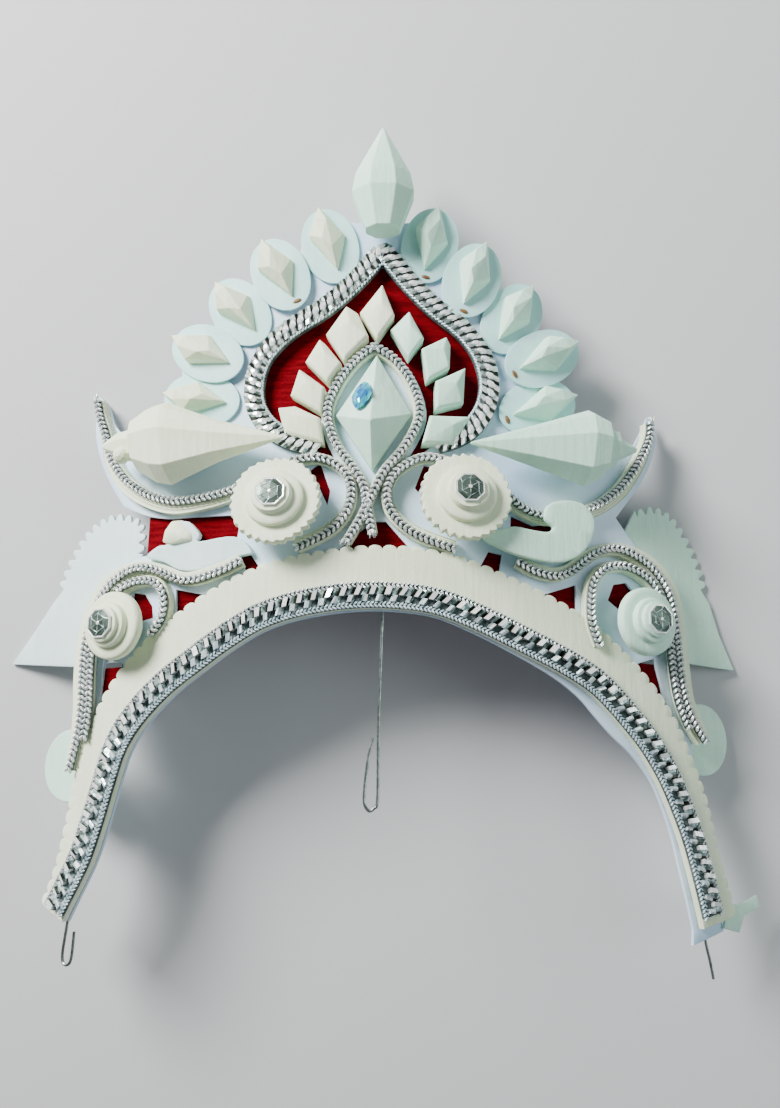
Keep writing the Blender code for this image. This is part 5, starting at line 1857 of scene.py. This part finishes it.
@dataclass
class Teardrop:
    """The silver teardrop, the fan of chips in it, and the diamond with its stone."""

    bench: Bench
    width: float = 7.0 * MM
    lobe_pitch: float = 3.0 * MM
    chip_low: float = 3.5 * MM
    chip_high: float = 5.0 * MM
    slot: float = 0.25 * MM
    spike_wall: float = 3.4 * MM
    spike_high: float = 12.0 * MM
    stone_half_width: float = 3.8 * MM
    stone_half_length: float = 5.5 * MM
    stone_sides: int = 12

    def build(self) -> None:
        """Builds the lace, the chips, the diamond and the stone."""
        self.lace()
        self.chips()
        self.diamond()
        self.stone()

    def lace(self) -> None:
        """Lays the lace: a row of links in painted lit foil between folded foil, and a pale chain inside."""
        tear = teardrop_line(5)
        half = self.width / 2
        section = (
            (1, 0, 0), (1, 0, 1.2 * MM), (1, 0.8 * MM, 1.8 * MM),
            (-1, 0.8 * MM, 1.8 * MM), (-1, 0, 1.2 * MM), (-1, 0, 0),
        )
        parts = [(swept(spaced(tear, 1.5 * MM), half, half, FRONT, section), Lace.SHADE_BACKING)]
        folds = spaced(tear, self.lobe_pitch)
        ways = normals(folds)
        # The facets' finishes are painted tones: lit, half-lit and shaded foil for the light each fold
        # catches.
        outer = (
            (0.00, 2.2 * MM, Lace.HALF_LIT),
            (0.30, 3.1 * MM, Lace.LIT),
            (0.62, 2.3 * MM, Lace.SHADED),
        )
        inner = (
            (0.00, 1.9 * MM, Lace.SHADED),
            (0.36, 2.5 * MM, Lace.HALF_LIT),
            (0.70, 3.0 * MM, Lace.LIT),
        )
        parts += pleats(folds, (3.3 * MM, 1.5 * MM), FRONT, outer, 7)
        parts += pleats(folds, (-0.9 * MM, -2.5 * MM), FRONT, inner, 9)
        links = [p + w * 0.45 * MM for p, w in zip(folds, ways)]
        size = (3.8 * MM, 2.2 * MM, 2.0 * MM)
        parts.append((beads(links, ways, FRONT + 2.5 * MM, 52, size, 6, 4), Lace.LIT))
        cord = spaced(tear, 1.3 * MM)
        sides = normals(cord)
        inside = [p - w * 2.95 * MM for p, w in zip(cord, sides)]
        size = (1.8 * MM, 0.8 * MM, 1.1 * MM)
        parts.append((beads(inside, sides, FRONT + 1.9 * MM, 30, size, 6, 4), Lace.PALE))
        finishes = [SHADE_BACKING, LIT_FOIL, HALF_LIT_FOIL, SHADED_FOIL, PALE_THREAD]
        flat = [Lace.LIT, Lace.HALF_LIT, Lace.SHADED]
        self.bench.fix("teardrop_lace", gathered(parts), finishes, ["teardrop_trim"], faceted=flat)

    def chips(self) -> None:
        """Cuts the chips, which meet near the leaf and part by narrow slots further out."""
        for name, *corners in INNER_PETALS:
            line = [at(corner) for corner in corners]
            middle = sum(line, Vector((0, 0))) / len(line)
            line = [p + (middle - p).normalized() * self.slot for p in line]
            tops = [FRONT + (self.chip_high if inner else self.chip_low) for _, _, inner in corners]
            points = [(p.x, p.y, BACK + GAP) for p in line]
            for p, high in zip(line, tops):
                points.append((p.x, p.y, high - 0.7 * MM))
                near = p.lerp(middle, 0.13)
                points.append((near.x, near.y, high))
            ridge = line[0].lerp(middle, 0.75) + Vector((0.6 * MM, 0.2 * MM))
            points.append((ridge.x, ridge.y, FRONT + self.chip_high + 0.35 * MM))
            finishes = [side_tint_and_shade_pith(name)]
            block = hewn(points, 0.22 * MM)
            self.bench.fix("fan_chip_" + name, block, finishes, ["chip_" + name], round_below=12.0)

    def diamond(self) -> None:
        """Cuts the four-sided spike."""
        corners = [at(corner) for corner in DIAMOND]
        peak = at(DIAMOND_PEAK)
        rings = [
            [(p.x, p.y, FRONT) for p in corners],
            [(p.x, p.y, FRONT + self.spike_wall) for p in corners],
            [(*peak.lerp(p, 0.04), FRONT + self.spike_high) for p in corners],
        ]
        spike = softened(lofted(rings), 0.25 * MM, 12.0, 2)
        self.bench.fix("leaf_spike", spike, [AQUA_PITH], ["leaf_diamond"], round_below=12.0)

    def stone(self) -> None:
        """Cuts the pointed oval stone on the spike's left face."""
        corners = [at(corner) for corner in DIAMOND]
        peak = at(DIAMOND_PEAK)
        middle = Vector((peak.x, peak.y, FRONT + self.spike_high))
        top = Vector((*corners[0], FRONT + self.spike_wall))
        left = Vector((*corners[1], FRONT + self.spike_wall))
        out = (top - middle).cross(left - middle).normalized()
        place = at(STONE_AT)
        height = middle.z - (out.x * (place.x - middle.x) + out.y * (place.y - middle.y)) / out.z
        foot = Vector((place.x, place.y, height)) + out * 0.5 * MM
        across = Vector((0, 1, 0)).cross(out).normalized()
        up = out.cross(across)
        rings = []
        cut = ((0.84, 0.0, 0.0), (1.0, 0.7, 0.0), (0.98, 0.95, 0.0), (0.74, 1.75, 0.5), (0.46, 2.35, 0.0))
        for share, z, turn in cut:
            ring = []
            for k in range(self.stone_sides):
                a = 2 * math.pi * (k + turn) / self.stone_sides
                x = self.stone_half_width * math.cos(a) * (1 - 0.22 * abs(math.sin(a)))
                y = self.stone_half_length * math.sin(a)
                ring.append(tuple(foot + across * x * share + up * y * share + out * z * MM))
            rings.append(ring)
        self.bench.fix("marquise_stone", lofted(rings), [STONE], ["blue_stone"], faceted=[0])


LOZENGE_CORNERS = (
    # across, along, rise
    (0.00, 1.00, 0.00),
    (-1.00, 0.14, 0.00),
    (0.04, -1.00, 0.00),
    (1.00, -0.04, 0.00),
    (-0.02, 0.96, 0.42),
    (-0.94, 0.16, 0.50),
    (0.04, -0.95, 0.28),
    (0.88, -0.02, 0.30),
    (-0.42, 0.50, 0.86),
    (-0.30, -0.14, 1.00),
    (0.20, 0.42, 0.94),
    (0.10, -0.42, 0.84),
)


@dataclass
class Petals:
    """The ten oval discs, each with a carved lozenge."""

    bench: Bench
    length: float = 29.0 * MM
    width: float = 19.6 * MM
    thick: float = 1.0 * MM
    lozenge_length: float = 24.8 * MM
    lozenge_width: float = 12.3 * MM
    lozenge_height: float = 6.0 * MM
    disc_points: int = 56
    glued: tuple[str, ...] = ("left_2", "right_1", "right_2", "right_4", "right_5")

    def disc(self) -> Mesh:
        """A thin oval whose rim lifts a little."""
        profile = ((0.90, 0.0), (0.99, 0.10), (1.0, 0.5), (0.99, 0.9), (0.90, 1.0), (0.45, 0.9))
        rings = []
        for share, height in profile:
            ring = []
            for k in range(self.disc_points):
                a = 2 * math.pi * k / self.disc_points
                lift = 0.25 * MM * math.sin(3 * a + 0.6) * share**2
                x = share * self.width / 2 * math.cos(a)
                y = share * self.length / 2 * math.sin(a)
                ring.append((x, y, height * self.thick + max(lift, 0.0)))
            rings.append(ring)
        return lofted(rings)

    def lozenge(self, rng: random.Random) -> Mesh:
        """A long hewn lozenge: a broad face, a narrow one and a steep foot, no two alike."""
        half = self.lozenge_length / 2
        wide = self.lozenge_width / 2
        high = self.lozenge_height
        points = []
        for across, along, rise in LOZENGE_CORNERS:
            slip = rng.uniform(-0.03, 0.03) if rise > 0.3 else 0.0
            x = (across + slip) * wide
            y = (along + slip) * half + 0.08 * self.length
            lift = 0.5 * self.thick if rise else 0.0
            points.append((x, y, 0.5 * self.thick + rise * high * (1.0 + slip) + lift))
        return hewn(points, 0.14 * MM)

    def build(self) -> None:
        """Sets the petals round the card."""
        rng = random.Random(11)
        for name, across, up, turn, layer in OUTER_PETALS:
            foot = FRONT + layer * (self.thick + GAP)
            parts = [(self.disc(), 0), (self.lozenge(rng), 1)]
            if name in self.glued:
                parts.append((self.glue(), 2))
            petal = gathered(parts)
            spin = Matrix.Rotation(math.radians(turn), 4, "Z")
            petal.transform(Matrix.Translation((*at((across, up)), foot)) @ spin)
            finishes = [THIN_PITH, side_tint_and_shade_pith(name), GLUE]
            self.bench.fix("oval_" + name, petal, finishes, ["petal_" + name], round_below=10.0)

    def glue(self) -> Mesh:
        """A dried drop of glue at the petal's inner end."""
        drop = turned(((1.1 * MM, 0.0, 0), (1.0 * MM, 0.35 * MM, 0), (0.5 * MM, 0.6 * MM, 0)), 11)
        place = Matrix.Translation((1.2 * MM, -0.42 * self.length, self.thick - 0.1 * MM))
        drop.transform(place @ Matrix.Diagonal((1.5, 0.7, 1.0, 1.0)))
        return drop


@dataclass
class Spindles:
    """The bud at the top and the two conches."""

    bench: Bench
    finial_length: float = 39 * MM
    finial_radius: float = 10.6 * MM
    finial_depth: float = 8.6 * MM
    conch_depth: float = 9.0 * MM
    edges: Sequence[float] = (0, 40, 78, 130, 180, 230, 270, 310)

    def spindle(
        self, rings: Rows, length: float, radius: float, depth: float,
        edges: Sequence[float] = (), lean: float = 0.0,
    ) -> Mesh:
        """Carves a faceted spindle along y.

        Args:
            rings: along, radius and depth of each ring, as shares.
            length: its length.
            radius: half its greatest width.
            depth: half its greatest thickness.
            edges: where its long edges lie, in degrees, or none for eight even sides.
            lean: how far its rings lean from square, as a share of its length.

        Returns:
            The spindle, its underside resting at z 0.
        """
        made = []
        for along, wide, deep in rings:
            ring = []
            for edge in edges or [22.5 + 45 * k for k in range(8)]:
                angle = math.radians(edge)
                reach = 1.0 if edges else 1 / math.cos(math.pi / 8)
                x = wide * reach * math.cos(angle)
                high = depth * (1.0 + deep * reach * math.sin(angle))
                ring.append((radius * x, length * (along + lean * x), high))
            made.append(ring)
        return lofted(made)

    def finial(self) -> Mesh:
        """The bud, upright on the card's top."""
        bud = self.spindle(FINIAL_RINGS, self.finial_length, self.finial_radius, self.finial_depth)
        x, y = at(FINIAL_AT)
        bud.transform(self.bench.form.seat(x, y, FRONT))
        return bud

    def knob(self, length: float, radius: float) -> Mesh:
        """The small round knob beside the left conch's outer tip."""
        ball_radius = 2.9 * MM
        angles = (0.4, 0.9, 1.4, 1.8, 2.3, 2.8)
        ball = turned([(ball_radius * math.sin(a), -ball_radius * math.cos(a), 0) for a in angles], 9)
        ball.transform(Matrix.Translation((-0.30 * radius, 0.865 * length, 1.30 * self.conch_depth)))
        return ball

    def build(self) -> None:
        """Sets the bud and the conches."""
        bud = softened(self.finial(), 0.22 * MM, 12.0)
        self.bench.fix("bud", bud, [AQUA_PITH], ["finial"], Bend.RIGID, round_below=8.0)
        for side, place, rings, length, radius in (
            ("left", CONCH_LEFT_AT, CONCH_RINGS_LEFT, 66 * MM, 14.6 * MM),
            ("right", CONCH_RIGHT_AT, CONCH_RINGS_RIGHT, 59 * MM, 13.4 * MM),
        ):
            mirrored = side == "right"
            edges = [180 - edge for edge in reversed(self.edges)] if mirrored else self.edges
            lean = -0.03 if mirrored else 0.03
            shell = self.spindle(rings, length, radius, self.conch_depth, edges, lean)
            turn = math.radians(place[2])
            middle = at(place) + Vector((-math.sin(turn), math.cos(turn))) * length / 2
            shell = softened(shell, 0.25 * MM, 12.0)
            if side == "left":
                shell = gathered([(shell, 0), (self.knob(length, radius), 0)])
            shell.transform(Matrix.Translation((0, -length / 2, 0)))
            shell.transform(self.bench.form.seat(middle.x, middle.y, FRONT + GAP, turn))
            finishes = [side_tint_and_shade_pith(side)]
            self.bench.fix("conch_shell_" + side, shell, finishes, ["conch_" + side], Bend.RIGID, 8.0)


@dataclass
class Rounds:
    """The toothed rosettes, the plain domes and their mirrors."""

    bench: Bench
    rosette_radius: float = 15.2 * MM
    rosette_thick: float = 3.2 * MM
    rosette_lean: float = math.radians(9)
    teeth: int = 30
    dome_radius: float = 11.4 * MM
    dome_thick: float = 3.6 * MM
    dome_lean: float = math.radians(5)
    boss: float = 6.2 * MM
    mirror_radius: float = 5.2 * MM

    def build(self) -> None:
        """Sets both pairs."""
        for side, across, up in ROSETTES:
            self.rosette(side, at((across, up)))
        for side, across, up in DOMES:
            self.dome(side, at((across, up)))

    def rosette(self, side: str, centre: Vector) -> None:
        """Builds a toothed disc with two round tiers."""
        frame = self.bench.form.seat(centre.x, centre.y, FRONT, 0.0, self.rosette_lean)
        foot = OVER_BRAID - FRONT + self.rosette_radius * math.sin(self.rosette_lean) + GAP
        thick = self.rosette_thick
        r = self.rosette_radius
        top = foot + 2.7 * thick
        disc = turned(
            (
                (r - 1.5 * MM, foot, 1),
                (r - 0.25 * MM, foot + 0.1 * MM, 1),
                (r, foot + 0.5 * MM, 1),
                (r, foot + thick - 0.5 * MM, 1),
                (r - 0.35 * MM, foot + thick - 0.1 * MM, 1),
                (r - 2.2 * MM, foot + thick, 0),
                (0.5 * r, foot + thick - 0.2 * MM, 0),
            ),
            self.teeth * 6,
            self.teeth,
            1.3 * MM,
        )
        tier = turned(
            (
                (0.61 * r, foot + thick - 0.5 * MM, 0),
                (0.64 * r, foot + thick + 0.3 * MM, 0),
                (0.63 * r, foot + 1.7 * thick, 0),
                (0.58 * r, foot + 1.88 * thick, 0),
                (0.40 * r, foot + 1.9 * thick, 0),
            ),
            64,
        )
        cup = turned(
            (
                (0.44 * r, foot + 1.8 * thick, 0), (0.445 * r, foot + 2.3 * thick, 0),
                (0.41 * r, top - 0.1 * MM, 0), (0.36 * r, top, 0),
            ),
            48,
        )
        stem = self.stem(self.rosette_lean, foot + thick / 2)
        whole = gathered([(disc, 0), (tier, 0), (cup, 0), (stem, 0)])
        whole.transform(frame)
        self.bench.fix("toothed_rosette_" + side, whole, [CREAM_PITH], ["rosette_" + side], Bend.RIGID, 40.0)
        self.mirror("rosette_glass_" + side, frame, top, "rosette_mirror_" + side)

    def dome(self, side: str, centre: Vector) -> None:
        """Builds a thick plain disc with a ring and a button."""
        seat = self.bench.form.seat(centre.x, centre.y, FRONT)
        frame = seat @ Matrix.Rotation(math.copysign(self.dome_lean, centre.x), 4, "Y")
        foot = OVER_BRAID - FRONT + self.dome_radius * math.sin(self.dome_lean) + GAP
        thick = self.dome_thick
        r = self.dome_radius
        top = foot + 2.2 * thick
        disc = turned(
            (
                (0.90 * r, foot, 0),
                (0.99 * r, foot + 0.5 * MM, 0),
                (r, foot + 0.5 * thick, 0),
                (0.985 * r, foot + 0.8 * thick, 0),
                (0.93 * r, foot + 0.96 * thick, 0),
                (0.80 * r, foot + thick, 0),
                (0.5 * r, foot + thick, 0),
            ),
            72,
        )
        ring = turned(
            (
                (0.66 * r, foot + thick - 0.4 * MM, 0),
                (0.665 * r, foot + 1.4 * thick, 0),
                (0.64 * r, foot + 1.62 * thick, 0),
                (0.58 * r, foot + 1.7 * thick, 0),
                (0.4 * r, foot + 1.7 * thick, 0),
            ),
            56,
        )
        sides = ((0.52 * r, foot + 1.6 * thick, 0), (0.52 * r, top - 0.3 * MM, 0), (0.48 * r, top, 0))
        button = turned(sides, 48)
        stem = self.stem(self.dome_lean, foot + thick / 2)
        whole = gathered([(disc, 0), (ring, 0), (button, 0), (stem, 0)])
        whole.transform(frame)
        self.bench.fix("plain_dome_" + side, whole, [side_tint_and_shade_pith(side)], ["dome_" + side], Bend.RIGID, 40.0)
        self.mirror("dome_glass_" + side, frame, top, "dome_mirror_" + side)

    def stem(self, lean: float, top: float) -> Mesh:
        """The round boss that carries a leaning disc on the card."""
        foot = self.boss * math.sin(lean) + GAP
        return turned(((self.boss, foot, 0), (self.boss, top, 0)), 24)

    def mirror(self, name: str, frame: Matrix, height: float, node: str) -> None:
        """Sets an eight-sided mirror with a silver rim, a six-sided table and lit cut lines; the glass is
        painted dark as a painted reflection and the cut lines are painted highlights.
        """
        r = self.mirror_radius
        foot = height + GAP
        steps = ((0.97, 0.0), (1.0, 0.2), (1.0, 0.5), (0.96, 0.72), (0.90, 0.66))
        rim = lofted([self.ring(8, r * s, foot + h * MM) for s, h in steps])
        shares = ((0.90, 0.60), (0.86, 0.74), (0.55, 1.06), (0.10, 1.10))
        glass = lofted([self.facets(r * s, foot + h * MM, s > 0.7) for s, h in shares])
        rings = ((0.62, 1.00), (0.62, 1.12), (0.40, 1.19))
        dot = turned([(radius * MM, foot + high * MM, 0) for radius, high in rings], 12)
        cuts = bpy.data.curves.new("cuts", "CURVE")
        cuts.dimensions = "3D"
        cuts.bevel_depth = 0.11 * MM
        corners = [Vector(p) for p in self.ring(6, 0.60 * r, foot + 1.06 * MM)]
        outer = [Vector(p) for p in self.ring(12, 0.86 * r, foot + 0.76 * MM)]
        add_line(cuts, corners, True)
        for corner, far in zip(corners, outer[::2]):
            add_line(cuts, [corner.lerp(Vector((0, 0, foot + 1.12 * MM)), 0.75), corner, far], False)
        whole = gathered([(glass, 0), (rim, 1), (dot, 1), (mesh_of(cuts), 2)])
        whole.transform(frame)
        self.bench.fix(name, whole, [PAINTED_REFLECTION_MIRROR, LIT_FOIL, HALF_LIT_FOIL], [node], Bend.RIGID, 5.0, faceted=[0])

    def ring(self, sides: int, radius: float, height: float) -> list[tuple[float, float, float]]:
        """A ring of corners with a flat side up."""
        angles = [2 * math.pi * (k + 0.5) / sides for k in range(sides)]
        return [(radius * math.cos(a), radius * math.sin(a), height) for a in angles]

    def facets(self, radius: float, height: float, outer: bool) -> list[tuple[float, float, float]]:
        """A ring of points that follows eight sides outside, or six sides inside."""
        count = 24
        sides = 8 if outer else 6
        start = math.pi / sides
        found = []
        for k in range(count):
            a = 2 * math.pi * k / count + math.pi / count
            off = (a - start) % (2 * math.pi / sides) - math.pi / sides
            r = radius * math.cos(math.pi / sides) / math.cos(off)
            found.append((r * math.cos(a), r * math.sin(a), height))
        return found


CURL_NUB = (
    # across, up, rise in mm
    (-0.738, 0.252, 2.6),
    (-0.736, 0.292, 1.8),
    (-0.712, 0.325, 1.6),
    (-0.672, 0.325, 1.6),
    (-0.625, 0.278, 1.8),
    (-0.628, 0.248, 2.6),
    (-0.702, 0.288, 4.4),
    (-0.652, 0.258, 4.2),
    (-0.700, 0.240, 3.4),
)


@dataclass
class Curls:
    """The carved curls beside the rosettes."""

    bench: Bench
    thick: float = 2.6 * MM

    def build(self) -> None:
        """Cuts both curls."""
        left = plate(drawn(CURL_LEFT, 3, True), FRONT, self.thick, edge=0.45 * MM)
        corners = [(*at(row), FRONT + 0.2 * MM + rise * MM) for row in CURL_NUB for rise in (0.0, row[2])]
        both = gathered([(left, 0), (hewn(corners, 0.3 * MM), 1)])
        self.bench.fix("carved_curl_left", both, [PALE_PITH, CREAM_PITH], ["curl_left"], round_below=40.0)
        right = plate(drawn(CURL_RIGHT, 3, True), OVER_BRAID, self.thick, edge=0.6 * MM)
        across, up, radius = CURL_RIGHT_HEAD
        lump = turned(((radius * UNIT, FRONT, 0), (radius * UNIT, OVER_BRAID + self.thick / 2, 0)), 32)
        lump.transform(Matrix.Translation((*at((across, up - 0.030)), 0.0)))
        both = gathered([(right, 0), (lump, 0)])
        self.bench.fix("carved_curl_right", both, [AQUA_PITH], ["curl_right"], round_below=40.0)


@dataclass
class Backs:
    """What stands behind the card: the wings, the side discs, the scrap and the wires."""

    bench: Bench
    wing_thick: float = 1.2 * MM
    wing_tooth: float = 4.1 * MM
    tooth_depth: float = 2.5 * MM
    disc_radius: float = 12.2 * MM
    disc_thick: float = 1.6 * MM
    wire_radius: float = 0.5 * MM
    tooth: Rows = (
        (0.0, 0.0), (0.10, 0.30), (0.18, 0.66), (0.28, 0.93), (0.42, 1.0),
        (0.56, 0.96), (0.68, 0.78), (0.78, 0.44), (0.88, 0.06),
    )

    def build(self) -> None:
        """Builds them all."""
        for side, rows in (("left", WING_LEFT), ("right", WING_RIGHT)):
            self.wing(side, rows)
        for side, across, up in SIDE_DISCS:
            r = self.disc_radius
            t = self.disc_thick
            soft = 0.3 * MM
            edge = ((0.97 * r, 0, 0), (r, soft, 0), (r, t - soft, 0), (0.97 * r, t, 0), (0.5 * r, t, 0))
            disc = turned(edge, 64)
            disc.transform(Matrix.Translation((*at((across, up)), BACK - t)))
            disc = creased(disc, 4 * MM, 0)
            self.bench.fix("back_disc_" + side, disc, [AQUA_PITH], ["side_disc_" + side])
        scrap = plate([at(p) for p in SCRAP], FRONT, 1.0 * MM, edge=0.12 * MM)
        self.bench.fix("cut_scrap", scrap, [AQUA_PITH], ["ear_scrap_right"])
        for name, rows in (("middle", WIRE_MIDDLE), ("left", WIRE_LEFT), ("right", WIRE_RIGHT)):
            self.wire(name, rows)

    def wing(self, side: str, rows: Rows) -> None:
        """Cuts a toothed sheet and curls it."""
        points = [at(row) for row in rows]
        first = next(i for i, row in enumerate(rows) if row[2])
        last = max(i for i, row in enumerate(rows) if row[2]) + 1
        edge = smooth(points[first : last + 1], 6)
        depth = -self.tooth_depth if side == "left" else self.tooth_depth
        cut = scalloped(edge, self.wing_tooth, depth, [(along, 1.0 - rise) for along, rise in self.tooth])
        outline = points[:first] + cut + points[last + 1 :]
        sheet = plate(outline, BACK - self.wing_thick, self.wing_thick, edge=0.2 * MM, column=3 * MM)
        # The right wing's deeper aqua against the left wing's pale pith is painted shade, for the shade that
        # the right wing lies in.
        finish = PALE_PITH if side == "left" else AQUA_PITH
        self.bench.fix("toothed_wing_" + side, sheet, [finish], ["wing_" + side], Bend.WING)

    def wire(self, name: str, rows: Rows) -> None:
        """Bends a steel wire."""
        points = [Vector((*at(row), row[2] * UNIT - self.wire_radius)) for row in rows]
        curve = bpy.data.curves.new("wire", "CURVE")
        curve.dimensions = "3D"
        curve.bevel_depth = self.wire_radius
        curve.bevel_resolution = 3
        curve.use_fill_caps = True
        add_line(curve, smooth(points, 6), False)
        self.bench.fix("bent_wire_" + name, mesh_of(curve), [STEEL], ["wire_" + name])


@dataclass
class Studio:
    """The floor, the lights and the camera."""

    form: HeadForm
    photo_height: int = 1108
    focal_px: float = 1100.0
    lean: float = math.radians(12.0)
    eye: tuple[float, float, float] = (2.9 * MM, 18.9 * MM, 357.5 * MM)

    def build(self) -> None:
        """Sets up the whole stage."""
        self.floor()
        self.camera()
        self.light("key", (-0.62, 0.60, 0.52), size=0.38, power=29.0, colour=(1.0, 0.99, 0.96))
        self.light("fill", (0.80, 0.05, 0.55), size=0.50, power=3.0, colour=(0.84, 1.0, 0.98))
        world = bpy.data.worlds.new("studio")
        world.use_nodes = True
        world.node_tree.nodes["Background"].inputs["Color"].default_value = (0.80, 0.84, 0.88, 1.0)
        world.node_tree.nodes["Background"].inputs["Strength"].default_value = 0.24
        bpy.context.scene.world = world

    def floor(self) -> None:
        """A plain pale floor."""
        mesh = mesh_from([(-2, -2, 0), (2, -2, 0), (2, 2, 0), (-2, 2, 0)], [(0, 1, 2, 3)])
        made = bpy.data.objects.new("floor", mesh)
        bpy.context.scene.collection.objects.link(made)
        surface = bpy.data.materials.new("floor")
        surface.use_nodes = True
        shader = surface.node_tree.nodes["Principled BSDF"]
        shader.inputs["Base Color"].default_value = (0.62, 0.62, 0.64, 1.0)
        shader.inputs["Roughness"].default_value = 0.9
        mesh.materials.append(surface)

    def camera(self) -> None:
        """The camera, placed from the crown as in the photograph."""
        data = bpy.data.cameras.new("camera")
        data.sensor_fit = "VERTICAL"
        data.sensor_height = 36.0
        data.lens = 36.0 * self.focal_px / self.photo_height
        data.clip_start = 0.01
        made = bpy.data.objects.new("camera", data)
        bpy.context.scene.collection.objects.link(made)
        looking = Matrix.Rotation(self.lean, 4, "X") @ Matrix.Translation(self.eye)
        made.matrix_world = self.form.lie @ looking
        bpy.context.scene.camera = made

    def light(
        self, name: str, place: Sequence[float], size: float, power: float, colour: Sequence[float],
    ) -> None:
        """Adds a soft square light that faces the crown.

        Args:
            name: its name.
            place: where it stands.
            size: the length of its side.
            power: its power in watts.
            colour: its colour.
        """
        data = bpy.data.lights.new(name, "AREA")
        data.size = size
        data.energy = power
        data.color = colour
        made = bpy.data.objects.new(name, data)
        made.location = place
        made.rotation_euler = Vector(place).to_track_quat("Z", "Y").to_euler()
        bpy.context.scene.collection.objects.link(made)


def settle(form: HeadForm, spindles: Spindles) -> None:
    """Moves the form to the floor place of the solids, found from the bud, which both have alike."""
    bud = spindles.finial()
    bud.transform(form.lie)
    low = Vector([min(v.co[k] for v in bud.vertices) for k in range(3)])
    form.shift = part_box("finial")[0] - low
    bpy.data.meshes.remove(bud)


def main() -> None:
    """Builds the crown on its solids, piece by piece."""
    logging.basicConfig(level=logging.INFO, format="%(name)s: %(message)s")
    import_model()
    form = HeadForm()
    bench = Bench(form)
    spindles = Spindles(bench)
    settle(form, spindles)
    for assembly in (
        CardFront(bench),
        ArchBand(bench),
        Scrolls(bench),
        Teardrop(bench),
        Petals(bench),
        spindles,
        Rounds(bench),
        Curls(bench),
        Backs(bench),
    ):
        assembly.build()
    Studio(form).build()
    log.info("%d pieces", bench.count)


if __name__ == "__main__":
    main()
